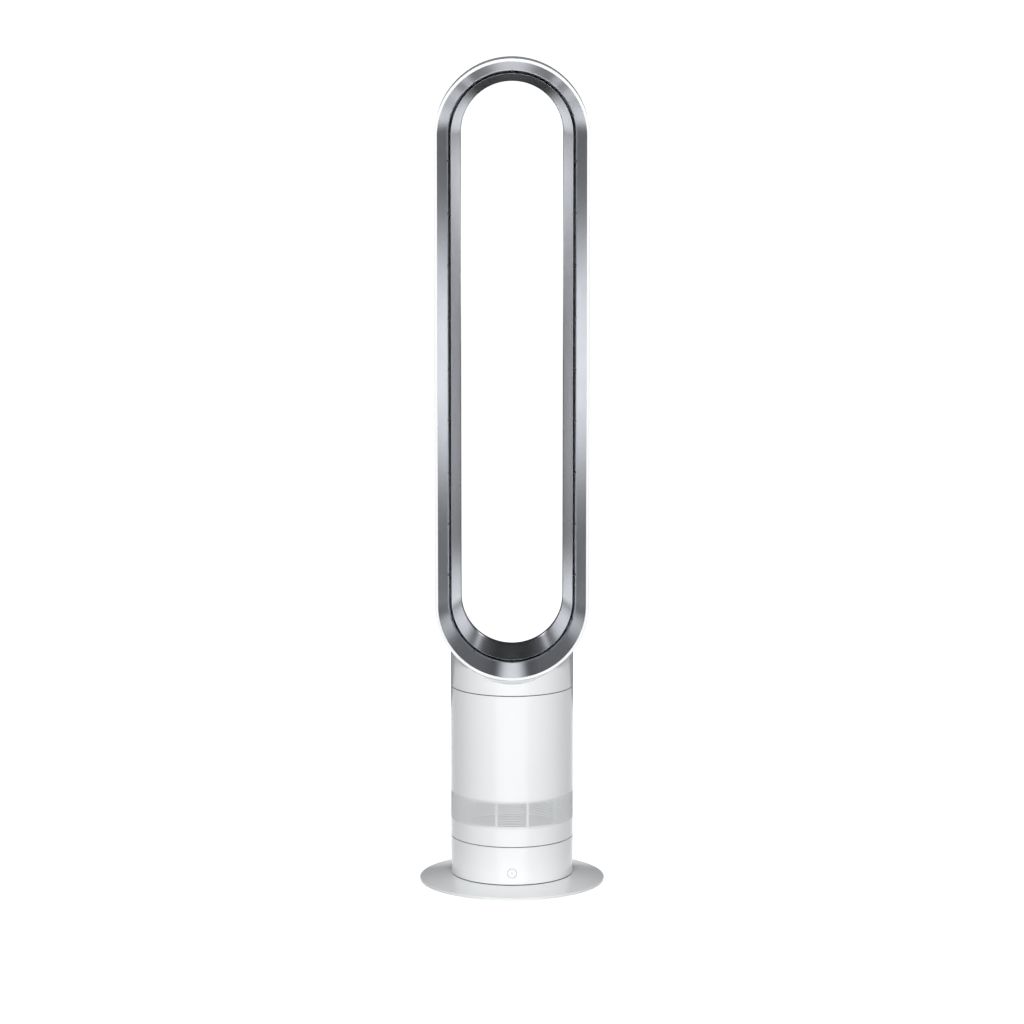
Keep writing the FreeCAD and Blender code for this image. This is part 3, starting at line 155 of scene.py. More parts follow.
class StudioSettings(bpy.types.PropertyGroup):
    """Camera and lights."""
    distance: length("Distance", "Camera in front of the fan's axis", 5.029)
    eye: length("Eye Height", "Camera above the floor", 1.270)
    tilt: amount("Tilt", "How far the camera looks down", math.radians(9.19), "ANGLE")
    lens: amount("Lens", "Focal length in millimetres", 147.7)
    sky: amount("Sky", "Soft light from the room round the fan", 0.2)
    room: amount("Room", "Brightness of the room that glossy parts mirror", 0.42)
    key: amount("Key Light", "Power of the front softbox in watts", 118.0)
    top: amount("Top Light", "Power of the overhead softbox in watts", 8.0)
    floor_glow: amount("Floor Glow", "Lift that keeps the floor plain white", 1.0)
    strip: amount("Front Strip", "Brightness of the strip that the body mirrors", 2.2)
    card: amount("Back Cards", "Brightness of the cards that the bands mirror", 0.95)


# ---- Node trees -------------------------------------------------------------------------------------
def join(tree, socket, value):
    """Feeds a socket from another node or socket, or sets it."""
    if isinstance(value, bpy.types.Node):
        value = value.outputs[0]
    if isinstance(value, bpy.types.NodeSocket):
        tree.links.new(value, socket)
    else:
        socket.default_value = value


def put(tree, kind, inputs=None, **settings):
    """Adds one node, with its settings and what feeds each of its inputs."""
    node = tree.nodes.new(kind)
    for key, value in settings.items():
        setattr(node, key, value)
    for key, value in (inputs or {}).items():
        join(tree, node.inputs[key], value)
    return node


def calc(tree, operation, *values):
    """One sum on numbers, as a socket."""
    node = put(tree, "ShaderNodeMath", dict(enumerate(values)), operation=operation)
    return node.outputs[0]


def triple(tree, x, y, z):
    return put(tree, "ShaderNodeCombineXYZ", {"X": x, "Y": y, "Z": z}).outputs[0]


def new_group(name, kind, inputs, outputs):
    """An empty node group with its sockets, and its two end nodes."""
    group = bpy.data.node_groups.new(name, kind)
    for in_out, sockets in (("INPUT", inputs), ("OUTPUT", outputs)):
        for label, socket_type, default in sockets:
            socket = group.interface.new_socket(label, in_out=in_out, socket_type=socket_type)
            if default is not None:
                socket.default_value = default
    return group, put(group, "NodeGroupInput"), put(group, "NodeGroupOutput")


def end_skin(tree, given, out, geometry):
    """Ends a tree with real geometry in its finish."""
    real = put(tree, "GeometryNodeRealizeInstances", {"Geometry": geometry})
    done = put(tree, "GeometryNodeSetMaterial", {"Geometry": real, "Material": given.outputs["Finish"]})
    join(tree, out.inputs[0], done)
    return tree


def loop_sweep_tree():
    """Carries a section outline, drawn as (radius, depth), once round the loop."""
    tree, given, out = new_group("Loop Sweep", "GeometryNodeTree", [
        ("Outline", "NodeSocketGeometry", None), ("Arc Steps", "NodeSocketInt", 96),
        ("Low Centre", "NodeSocketFloat", 0.3), ("High Centre", "NodeSocketFloat", 0.9),
        ("Finish", "NodeSocketMaterial", None)], [("Skin", "NodeSocketGeometry", None)])
    number = partial(calc, tree)
    outline, steps = given.outputs["Outline"], given.outputs["Arc Steps"]
    low, high = given.outputs["Low Centre"], given.outputs["High Centre"]
    points = put(tree, "GeometryNodeAttributeDomainSize", {"Geometry": outline}).outputs["Point Count"]
    ring = number("ADD", points, 1)
    stations = number("MULTIPLY_ADD", steps, 2, 3)
    grid = put(tree, "GeometryNodeMeshGrid", {"Vertices X": stations, "Vertices Y": ring})
    index = put(tree, "GeometryNodeInputIndex").outputs[0]
    station = number("FLOOR", number("DIVIDE", index, ring))
    place = number("MODULO", number("MODULO", index, ring), points)
    spot = put(tree, "GeometryNodeSampleIndex", {
        "Geometry": outline, "Value": put(tree, "GeometryNodeInputPosition"), "Index": place},
        data_type="FLOAT_VECTOR", domain="POINT").outputs[0]
    section = put(tree, "ShaderNodeSeparateXYZ", {0: spot})
    later = number("SUBTRACT", station, number("ADD", steps, 1))
    later_steps = number("MINIMUM", number("MAXIMUM", later, 0), steps)
    turned = number("DIVIDE", number("ADD", number("MINIMUM", station, steps), later_steps), steps)
    angle = number("MULTIPLY_ADD", turned, math.pi, -math.pi)
    upper = number("MULTIPLY", number("GREATER_THAN", later, -0.5),
                   number("LESS_THAN", later, number("ADD", steps, 0.5)))
    centre = number("MULTIPLY_ADD", upper, number("SUBTRACT", high, low), low)
    x = number("MULTIPLY", section.outputs["X"], number("COSINE", angle))
    rise = number("MULTIPLY", section.outputs["X"], number("SINE", angle))
    where = triple(tree, x, section.outputs["Y"], number("ADD", centre, rise))
    moved = put(tree, "GeometryNodeSetPosition", {"Geometry": grid.outputs["Mesh"], "Position": where})
    merged = put(tree, "GeometryNodeMergeByDistance", {"Geometry": moved, "Distance": MERGE_GAP})
    return end_skin(tree, given, out, merged)


def perforated_tree():
    """Sheet of round holes in staggered rows, bent to the body and given its thickness."""
    tree, given, out = new_group("Perforated Sheet", "GeometryNodeTree", [
        ("Start", "NodeSocketGeometry", None), ("Columns", "NodeSocketInt", 196),
        ("Rows", "NodeSocketInt", 16), ("Hole Radius", "NodeSocketFloat", 0.8 * MM),
        ("Body Radius", "NodeSocketFloat", 0.07), ("Bottom", "NodeSocketFloat", 0.0),
        ("Height", "NodeSocketFloat", 0.03), ("Thickness", "NodeSocketFloat", MM),
        ("Finish", "NodeSocketMaterial", None)], [("Sheet", "NodeSocketGeometry", None)])
    number = partial(calc, tree)
    columns, rows = given.outputs["Columns"], given.outputs["Rows"]
    radius, hole = given.outputs["Body Radius"], given.outputs["Hole Radius"]
    wide = number("DIVIDE", number("MULTIPLY", radius, 2 * math.pi), columns)
    tall = number("DIVIDE", given.outputs["Height"], rows)
    index = put(tree, "GeometryNodeInputIndex").outputs[0]

    # one tile: a strip of eight faces from the round hole out to the tile's edge
    strip = put(tree, "GeometryNodeMeshGrid", {"Vertices X": 9, "Vertices Y": 2}).outputs["Mesh"]
    turn = number("MULTIPLY", number("FLOOR", number("DIVIDE", index, 2)), math.pi / 4)
    edge = number("MODULO", index, 2)
    centre_share = number("SUBTRACT", 1, edge)
    sides = []
    for way, span in (("COSINE", wide), ("SINE", tall)):
        along = number(way, turn)
        corner = number("ROUND", number("MULTIPLY", along, 1.2))
        outside = number("MULTIPLY", number("MULTIPLY", corner, span), 0.5)
        inside = number("MULTIPLY", along, hole)
        sides.append(number("ADD", number("MULTIPLY", outside, edge),
                            number("MULTIPLY", inside, centre_share)))
    tile = put(tree, "GeometryNodeSetPosition", {
        "Geometry": strip, "Position": triple(tree, sides[0], sides[1], 0.0)})

    # a tile at each place, with every other row moved on by half a tile
    spots = put(tree, "GeometryNodeMeshGrid", {"Vertices X": columns, "Vertices Y": rows}).outputs["Mesh"]
    column = number("FLOOR", number("DIVIDE", index, rows))
    row = number("MODULO", index, rows)
    stagger = number("MULTIPLY", number("MODULO", row, 2), 0.5)
    across = number("MULTIPLY", number("ADD", column, stagger), wide)
    up = number("MULTIPLY", number("ADD", row, 0.5), tall)
    laid = put(tree, "GeometryNodeSetPosition", {
        "Geometry": spots, "Position": triple(tree, across, up, 0.0)})
    tiles = put(tree, "GeometryNodeInstanceOnPoints", {"Points": laid, "Instance": tile})
    flat = put(tree, "GeometryNodeRealizeInstances", {"Geometry": tiles})

    # bent round the body and closed where it meets itself
    here = put(tree, "ShaderNodeSeparateXYZ", {0: put(tree, "GeometryNodeInputPosition")})
    angle = number("DIVIDE", here.outputs["X"], radius)
    bent = put(tree, "GeometryNodeSetPosition", {"Geometry": flat, "Position": triple(
        tree, number("MULTIPLY", radius, number("COSINE", angle)),
        number("MULTIPLY", radius, number("SINE", angle)),
        number("ADD", here.outputs["Y"], given.outputs["Bottom"]))})
    skin = put(tree, "GeometryNodeMergeByDistance", {"Geometry": bent, "Distance": 0.02 * MM})
    inward = put(tree, "ShaderNodeVectorMath", {
        0: put(tree, "GeometryNodeInputPosition"), 1: (-1.0, -1.0, 0.0)}, operation="MULTIPLY")
    inward = put(tree, "ShaderNodeVectorMath", {0: inward}, operation="NORMALIZE")
    thick = put(tree, "GeometryNodeExtrudeMesh", {
        "Mesh": skin, "Offset": inward, "Offset Scale": given.outputs["Thickness"], "Individual": False},
        mode="FACES")
    both = put(tree, "GeometryNodeJoinGeometry")
    for part in (skin, thick):
        tree.links.new(part.outputs[0], both.inputs[0])
    closed = put(tree, "GeometryNodeMergeByDistance", {"Geometry": both, "Distance": 0.02 * MM})
    return end_skin(tree, given, out, closed)


def run_tree(obj, tree, values):
    """Adds a node tree to an object, sets its inputs and turns the result into a plain mesh."""
    modifier = obj.modifiers.new(tree.name, "NODES")
    modifier.node_group = tree
    for item in tree.interface.items_tree:
        if item.in_out == "INPUT" and item.name in values:
            modifier[item.identifier] = values[item.name]
    return applied(obj)


# ---- Finishes ---------------------------------------------------------------------------------------
def once(name, make):
    """A material or node group by name, made the first time that it is asked for."""
    found = bpy.data.node_groups.get(name) or bpy.data.materials.get(name)
    return found or make(name)


def moulded_grain(name):
    """Fine and broad variation over a surface, in real sizes: grain and mottle, each from 0 to 1."""
    group, given, out = new_group(name, "ShaderNodeTree", [
        ("Grain Size", "NodeSocketFloat", 1.0), ("Mottle Size", "NodeSocketFloat", 40.0),
        ("Stretch", "NodeSocketVector", (1.0, 1.0, 1.0))], [
        ("Grain", "NodeSocketFloat", None), ("Mottle", "NodeSocketFloat", None)])
    place = put(group, "ShaderNodeTexCoord").outputs["Object"]
    stretched = put(group, "ShaderNodeVectorMath", {0: place, 1: given.outputs["Stretch"]},
                    operation="MULTIPLY")
    for label, detail in (("Grain", 2.0), ("Mottle", 4.0)):
        per_metre = calc(group, "DIVIDE", 1 / MM, given.outputs[f"{label} Size"])
        noise = put(group, "ShaderNodeTexNoise", {
            "Vector": stretched, "Scale": per_metre, "Detail": detail, "Roughness": 0.55})
        join(group, out.inputs[label], noise.outputs[0])
    return group


def fine_layers(name):
    """Even lines across the vertical axis, as in stacked sheets or wound wire, from 0 to 1."""
    group, given, out = new_group(name, "ShaderNodeTree", [("Pitch", "NodeSocketFloat", 0.5)],
                                  [("Layer", "NodeSocketFloat", None)])
    place = put(group, "ShaderNodeTexCoord").outputs["Object"]
    height = put(group, "ShaderNodeSeparateXYZ", {0: place}).outputs["Z"]
    turns = calc(group, "DIVIDE", calc(group, "MULTIPLY", height, 2 * math.pi / MM),
                 given.outputs["Pitch"])
    wave = calc(group, "MULTIPLY_ADD", calc(group, "SINE", turns), 0.5, 0.5)
    join(group, out.inputs["Layer"], wave)
    return group


def foam_cells(name):
    """Open cells of soft foam, from 0 in a pore to 1 on its walls."""
    group, given, out = new_group(name, "ShaderNodeTree", [("Cell Size", "NodeSocketFloat", 1.2)],
                                  [("Wall", "NodeSocketFloat", None)])
    place = put(group, "ShaderNodeTexCoord").outputs["Object"]
    cells = put(group, "ShaderNodeTexVoronoi", {
        "Vector": place, "Scale": calc(group, "DIVIDE", 1 / MM, given.outputs["Cell Size"])})
    join(group, out.inputs["Wall"], cells.outputs["Distance"])
    return group


def blank_finish(name):
    """A material with only its shader, and that shader."""
    material = bpy.data.materials.new(name)
    material.use_nodes = True
    tree = material.node_tree
    shader = next(n for n in tree.nodes if n.type == "BSDF_PRINCIPLED")
    return material, tree, shader


def mix_colour(tree, share, first, second):
    """Colour between two, as a socket."""
    node = put(tree, "ShaderNodeMix", {"Factor": share}, data_type="RGBA")
    join(tree, node.inputs[6], first)
    join(tree, node.inputs[7], second)
    return node.outputs[2]


def shaded(tint, share):
    """A colour made darker or lighter by a share, with its alpha."""
    return tuple(min(1.0, c * share) for c in tint[:3]) + (1.0,)


def finish(name, tint, rough, metallic=0.0, coat=0.0, grain=1.0, mottle=40.0, tone=0.03, spread=0.04,
           bump=0.02, stretch=(1.0, 1.0, 1.0), layers=0.0, cells=0.0, mark=None):
    """A finish with grain, mottling and fine relief. Sizes are in millimetres."""
    if name in bpy.data.materials:
        return bpy.data.materials[name]
    material, tree, shader = blank_finish(name)
    texture = put(tree, "ShaderNodeGroup", {
        "Grain Size": grain, "Mottle Size": mottle, "Stretch": stretch},
        node_tree=once("Moulded Grain", moulded_grain))
    fine, broad = texture.outputs["Grain"], texture.outputs["Mottle"]
    relief = fine
    colour_share = calc(tree, "MULTIPLY_ADD", fine, 0.3, calc(tree, "MULTIPLY", broad, 0.7))
    if layers:
        relief = put(tree, "ShaderNodeGroup", {"Pitch": layers},
                     node_tree=once("Fine Layers", fine_layers)).outputs["Layer"]
        colour_share = calc(tree, "MULTIPLY_ADD", relief, 0.7, calc(tree, "MULTIPLY", broad, 0.3))
    if cells:
        relief = colour_share = put(tree, "ShaderNodeGroup", {"Cell Size": cells},
                                    node_tree=once("Foam Cells", foam_cells)).outputs["Wall"]
    base = mix_colour(tree, colour_share, shaded(tint, 1 - tone), shaded(tint, 1 + tone))
    if mark is not None:
        base = mix_colour(tree, standby_sign(tree), base, tuple(mark[:3]) + (1.0,))
    roughness = calc(tree, "MULTIPLY_ADD", broad, 2 * spread, rough - spread)
    raised = put(tree, "ShaderNodeBump", {"Height": relief, "Strength": 1.0, "Distance": bump * MM})
    for label, value in (("Base Color", base), ("Roughness", roughness), ("Normal", raised),
                         ("Metallic", metallic), ("Coat Weight", coat), ("Coat Roughness", 0.08)):
        join(tree, shader.inputs[label], value)
    material.diffuse_color = tuple(tint[:3]) + (1.0,)
    return material


def standby_sign(tree):
    """Mask of a small plain standby sign in the middle of the button: an open ring and a bar."""
    number = partial(calc, tree)
    place = put(tree, "ShaderNodeTexCoord").outputs["Object"]
    shifted = put(tree, "ShaderNodeVectorMath", {0: place, 1: (0.0, 0.0, -BUTTON_Z)}, operation="ADD")
    here = put(tree, "ShaderNodeSeparateXYZ", {0: shifted})
    x = number("DIVIDE", number("ABSOLUTE", here.outputs["X"]), MM)
    z = number("DIVIDE", here.outputs["Z"], MM)
    away = number("SQRT", number("ADD", number("MULTIPLY", x, x), number("MULTIPLY", z, z)))
    sign_radius, half_line, gap, bar_low, bar_top = 1.35, 0.13, 0.45, 0.3, 1.75
    ring = number("LESS_THAN", number("ABSOLUTE", number("SUBTRACT", away, sign_radius)), half_line)
    open_top = number("MAXIMUM", number("GREATER_THAN", x, gap), number("LESS_THAN", z, 0.0))
    tall = number("MULTIPLY", number("GREATER_THAN", z, bar_low), number("LESS_THAN", z, bar_top))
    bar = number("MULTIPLY", number("LESS_THAN", x, half_line), tall)
    return number("MAXIMUM", number("MULTIPLY", ring, open_top), bar)


def colours():
    return bpy.context.scene.fan_colours


def sizes():
    return bpy.context.scene.fan_sizes


def white_finish():
    return finish("Gloss White Casing", colours().white, 0.17, grain=1.6, mottle=60, tone=0.008,
                  spread=0.02, bump=0.004, coat=0.25)


def silver_finish():
    return finish("Silver Lacquer", colours().silver, 0.2, metallic=1.0, grain=0.35, mottle=25,
                  tone=0.02, spread=0.02, bump=0.0015)


def band_finish():
    return finish("Coated Perforated Sheet", colours().band, 0.4, grain=0.4, mottle=20, tone=0.02,
                  bump=0.006)


def seal_finish():
    return finish("Soft Grey Seal", colours().seal, 0.7, grain=0.3, mottle=12, tone=0.15, spread=0.08,
                  bump=0.02)


# ---- Mesh helpers -----------------------------------------------------------------------------------
def rounded(corners, steps=4):
    """Closed outline through (x, y, round) corners, with an arc wherever the round isn't nothing."""
    outline = []
    for i, (x, y, radius) in enumerate(corners):
        here = Vector((x, y))
        if not radius:
            outline.append((x, y))
            continue
        back = (Vector(corners[i - 1][:2]) - here).normalized()
        on = (Vector(corners[(i + 1) % len(corners)][:2]) - here).normalized()
        half = back.angle(on) / 2
        centre = here + (back + on).normalized() * (radius / math.sin(half))
        start = here + back * (radius / math.tan(half)) - centre
        end = here + on * (radius / math.tan(half)) - centre
        first = math.atan2(start.y, start.x)
        turn = (math.atan2(end.y, end.x) - first + math.pi) % (2 * math.pi) - math.pi
        for k in range(steps + 1):
            angle = first + turn * k / steps
            outline.append((centre.x + radius * math.cos(angle), centre.y + radius * math.sin(angle)))
    return outline


def plain(points):
    return [(x, y, 0) for x, y in points]


def oval(centre, semi, start, end, steps):
    """Points on an upright oval, from start to end in radians."""
    angles = [start + (end - start) * k / steps for k in range(steps + 1)]
    return [(centre[0] + semi[0] * math.cos(a), centre[1] + semi[1] * math.sin(a)) for a in angles]


def thinner(shape, wall):
    centre, semi = shape
    return centre, (semi[0] - wall, semi[1] - wall)


def seam_angle(shape):
    centre, semi = shape
    return math.asin((Y_SEAM - centre[1]) / semi[1])


def new_object(name, mesh):
    obj = bpy.data.objects.new(name, mesh)
    bpy.context.scene.collection.objects.link(obj)
    return obj


def applied(obj):
    """Turns an object with its modifiers into a plain mesh."""
    graph = bpy.context.evaluated_depsgraph_get()
    mesh = bpy.data.meshes.new_from_object(obj.evaluated_get(graph), preserve_all_data_layers=True,
                                           depsgraph=graph)
    obj.modifiers.clear()
    obj.data = mesh
    mesh.name = obj.name
    return obj


def from_bmesh(name, work):
    mesh = bpy.data.meshes.new(name)
    work.to_mesh(mesh)
    work.free()
    return new_object(name, mesh)


def closed_up(obj, weighted=True):
    """Merges doubles, turns the faces outwards and shades them smooth between sharp edges."""
    work = bmesh.new()
    work.from_mesh(obj.data)
    bmesh.ops.remove_doubles(work, verts=work.verts, dist=MERGE_GAP)
    bmesh.ops.dissolve_degenerate(work, edges=work.edges, dist=1e-7)
    bmesh.ops.recalc_face_normals(work, faces=work.faces)
    work.to_mesh(obj.data)
    work.free()
    obj.data.polygons.foreach_set("use_smooth", [True] * len(obj.data.polygons))
    obj.data.set_sharp_from_angle(angle=SHARP_ANGLE)
    if weighted:
        modifier = obj.modifiers.new("Even Shading", "WEIGHTED_NORMAL")
        modifier.keep_sharp = True
        applied(obj)
    return obj


def show(obj, body, material, slot, *nodes):
    """Gives a finished piece its material, ties it to its body and hides the nodes that it replaces."""
    obj.data.materials.clear()
    obj.data.materials.append(material)
    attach(obj, body)
    if nodes:
        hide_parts(*nodes)
    return obj


def skin_between(work, ring, after):
    """Adds the faces between two rings of points, either of which may be a single point."""
    for k in range(max(len(ring), len(after))):
        corners = (ring[k % len(ring)], ring[(k + 1) % len(ring)], after[(k + 1) % len(after)],
                   after[k % len(after)])
        corners = list(dict.fromkeys(corners))
        if len(corners) > 2:
            work.faces.new(corners)


def lathe_into(work, outline, columns=180, place=(0.0, 0.0), along_y=False):
    """Adds a solid of revolution from a closed (radius, height) outline. Points on the axis close it."""
    rings = []
    for radius, height in outline:
        ring = []
        for k in range(1 if radius < 1e-7 else columns):
            angle = 2 * math.pi * k / columns
            x, y = radius * math.cos(angle), radius * math.sin(angle)
            spot = (place[0] + x, height, place[1] + y) if along_y else (place[0] + x, place[1] + y, height)
            ring.append(work.verts.new(spot))
        rings.append(ring)
    for ring, after in zip(rings, rings[1:] + rings[:1]):
        skin_between(work, ring, after)


def block_into(work, low, high):
    made = bmesh.ops.create_cube(work, size=1.0)["verts"]
    for v in made:
        v.co = [(low[i] + high[i]) / 2 + v.co[i] * (high[i] - low[i]) for i in range(3)]
    edges = {e for v in made for e in v.link_edges}
    bmesh.ops.bevel(work, geom=list(edges), offset=0.3 * MM, segments=2, affect="EDGES", profile=0.5)


def round_wall(name, columns, levels, edge, holes=(), windows=()):
    """Casing of the round body. Columns are degrees, levels are (height, radius).

    A hole is (degrees, height, radius, (first column, last column, first level, last level)), and a
    window is the same four numbers on their own.
    """
    work = bmesh.new()
    rims = set()

    def spot(degrees, height, radius):
        a = math.radians(degrees)
        return work.verts.new((radius * math.cos(a), radius * math.sin(a), height))

    grid = [[spot(c, z, r) for z, r in levels] for c in columns]
    spans = [tuple(w) for w in windows] + [hole[3] for hole in holes]
    gone = {(c, l) for c0, c1, l0, l1 in spans for c in range(c0, c1) for l in range(l0, l1)}
    for c in range(len(columns)):
        after = grid[(c + 1) % len(columns)]
        for l in range(len(levels) - 1):
            if (c, l) not in gone:
                work.faces.new((grid[c][l], after[l], after[l + 1], grid[c][l + 1]))
    for degrees, height, radius, (c0, c1, l0, l1) in holes:
        border = [(c, l0) for c in range(c0, c1)] + [(c1, l) for l in range(l0, l1)]
        border += [(c, l1) for c in range(c1, c0, -1)] + [(c0, l) for l in range(l1, l0, -1)]
        wall = levels[l0][1]
        flat = [(math.radians(columns[c] - degrees) * wall, levels[l][0] - height) for c, l in border]
        outer = [grid[c][l] for c, l in border]
        for share in HOLE_RINGS:
            ring = []
            for u, v in flat:
                away = math.hypot(u, v)
                scale = 1 + (radius / away - 1) * share
                ring.append(spot(degrees + math.degrees(u * scale / wall), height + v * scale, wall))
            skin_between(work, outer, ring)
            outer = ring
        rims |= set(outer)
    skin = list(work.faces)
    borders = [(e.link_loops[0].vert, e.link_loops[0].link_loop_next.vert)
               for e in work.edges if e.is_boundary]
    behind = {}
    for v in list(work.verts):
        x, y, z = v.co
        shrink = BODY_IN / math.hypot(x, y)
        depth = math.copysign(math.sqrt(BODY_IN ** 2 - x * x), y) if v in rims else y * shrink
        behind[v] = work.verts.new((x if v in rims else x * shrink, depth, z))
    for face in skin:
        work.faces.new([behind[v] for v in reversed(face.verts)])
    for a, b in borders:
        work.faces.new((b, a, behind[a], behind[b]))
    bmesh.ops.remove_doubles(work, verts=work.verts, dist=MERGE_GAP)
    obj = from_bmesh(name, work)
    bevel = obj.modifiers.new("Edges", "BEVEL")
    bevel.width, bevel.segments, bevel.limit_method = edge, 3, "ANGLE"
    bevel.angle_limit = BEVEL_ANGLE
    return closed_up(applied(obj))


def add_ledge(obj, reach, low, high):
    """Adds a ring inside the wall of a casing."""
    work = bmesh.new()
    lathe_into(work, [(BODY_IN - reach, low), (BODY_IN + SLIP, low), (BODY_IN + SLIP, high),
                      (BODY_IN - reach, high)])
    return merge_into(obj, work)


def merge_into(obj, work):
    """Adds more closed shells to a finished piece."""
    work.from_mesh(obj.data)
    work.to_mesh(obj.data)
    work.free()
    return closed_up(obj)


def degrees_round(fine_spans, step=2, fine=1):
    """Angles once round, in whole steps, with finer ones across each (first, last) span."""
    angles = set(range(0, 360, step))
    for first, last in fine_spans:
        angles |= set(range(first, last + 1, fine))
    return sorted(angles)


def level_run(first, last, count):
    return [first + (last - first) * k / count for k in range(count + 1)]


# ---- Sections of the loop's skins -------------------------------------------------------------------
def inner_oval():
    opening = sizes().opening_width / 2
    return (NOSE_R, Y_THROAT), (NOSE_R - opening, Y_BACK - Y_THROAT)


def casing_outline():
    """Side casing, from its front rim back to the seam."""
    wall = thinner(OUTER_OVAL, LOOP_WALL)
    inside = LOOP_R - LOOP_WALL
    side = oval(*OUTER_OVAL, 0, seam_angle(OUTER_OVAL), 20)
    back = oval(*wall, seam_angle(wall), 0, 12)
    edge = 0.25 * MM
    corners = [(RIM_R, Y_FRONT, edge), (LOOP_R, Y_FRONT, sizes().rim_round)] + plain(side) + plain(back)
    corners += [(inside, Y_FRONT + RIM_LIP, 0), (RIM_R, Y_FRONT + RIM_LIP, 0)]
    return rounded(corners, 6)


def rear_cover_outline():
    """Nose that closes the back of the loop."""
    inner = inner_oval()
    outer_wall, inner_wall = thinner(OUTER_OVAL, LOOP_WALL), thinner(inner, LOOP_WALL)
    outline = oval(*OUTER_OVAL, seam_angle(OUTER_OVAL), math.pi / 2, 20)
    outline += oval(*inner, math.pi / 2, math.pi - seam_angle(inner), 20)[1:]
    outline += oval(*inner_wall, math.pi - seam_angle(inner_wall), math.pi / 2, 12)
    outline += oval(*outer_wall, math.pi / 2, seam_angle(outer_wall), 12)[1:]
    return outline


def inner_band_outline():
    """Inner band, from the slot's lip through the throat to the seam at the back."""
    opening = sizes().opening_width / 2
    across = THROAT_ROUND - (LIP_R - opening)
    along = Y_THROAT - Y_CREASE
    end = math.atan2(along, across) - math.acos(THROAT_ROUND / math.hypot(across, along))
    skins = []
    for wall in (0.0, RING_WALL):
        shape = thinner(inner_oval(), wall)
        radius = THROAT_ROUND - wall
        centre = (opening + THROAT_ROUND, Y_THROAT)
        arc = [(centre[0] - radius * math.cos(end * k / 12), centre[1] - radius * math.sin(end * k / 12))
               for k in range(12, 0, -1)]
        skins.append(arc + oval(*shape, math.pi, math.pi - seam_angle(shape), 6))
    edge = 0.1 * MM
    corners = [(LIP_R, Y_CREASE, edge)] + plain(skins[0]) + plain(reversed(skins[1]))
    corners.append((LIP_R + LIP_THICKNESS, Y_CREASE + 2 * LIP_THICKNESS, edge))
    return rounded(corners, 4)


def outer_band_outline():
    """Outer band, from the casing's rim in to the round nose beside the slot."""
    across, along = RIM_R - CREASE_R, Y_CREASE - Y_FRONT - RING_RECESS
    span = math.hypot(across, along)
    down, into = (-across / span, along / span), (along / span, across / span)
    half = RING_WALL / 2
    tip = (CREASE_R + down[0] * half, Y_CREASE + down[1] * half)
    tip_back = (tip[0] + into[0] * RING_WALL, tip[1] + into[1] * RING_WALL)
    lip, flange = Y_FRONT + RIM_LIP, Y_FRONT + RIM_LIP + 2 * MM
    slide = (flange - tip_back[1]) / down[1]
    nose = 0.98 * half
    return rounded([
        (RIM_R, Y_FRONT + RING_RECESS, 0.05 * MM), (*tip, nose), (*tip_back, nose),
        (tip_back[0] + slide * down[0], flange, 0), (RIM_R + MM, flange, 0), (RIM_R + MM, lip, 0),
        (RIM_R, lip, 0)], 5)


def swept(name, outline, material):
    """A skin of the loop from its outline."""
    count = len(outline)
    mesh = bpy.data.meshes.new(name)
    mesh.from_pydata([(r, y, 0.0) for r, y in outline], [(i, (i + 1) % count) for i in range(count)], [])
    obj = new_object(name, mesh)
    tree = bpy.data.node_groups.get("Loop Sweep") or loop_sweep_tree()
    run_tree(obj, tree, {"Arc Steps": sizes().arc_steps, "Low Centre": Z_LOW_ARC,
                         "High Centre": Z_HIGH_ARC, "Finish": material})
    return closed_up(obj)


# ---- Operators --------------------------------------------------------------------------------------
class FAN_OT_loop_skins(bpy.types.Operator):
    """Builds the loop's white casing, its two silver bands and its back cover"""
    bl_idname = "tower_fan.loop_skins"
    bl_label = "Loop Skins"

    def execute(self, context):
        white, silver = white_finish(), silver_finish()
        for name, outline, material, slot, nodes in (
                ("loop_side_casing", casing_outline(), white, "white_casing", "loop_casing"),
                ("loop_outer_band", outer_band_outline(), silver, "silver_band", "loop_front_ring"),
                ("loop_inner_band", inner_band_outline(), silver, "silver_band",
                 "loop_inner_ring_lower loop_inner_ring_upper"),
                ("loop_back_cover", rear_cover_outline(), silver, "silver_band", "loop_rear_cover")):
            show(swept(name, outline, material), "upper", material, slot, *nodes.split())
        return {"FINISHED"}


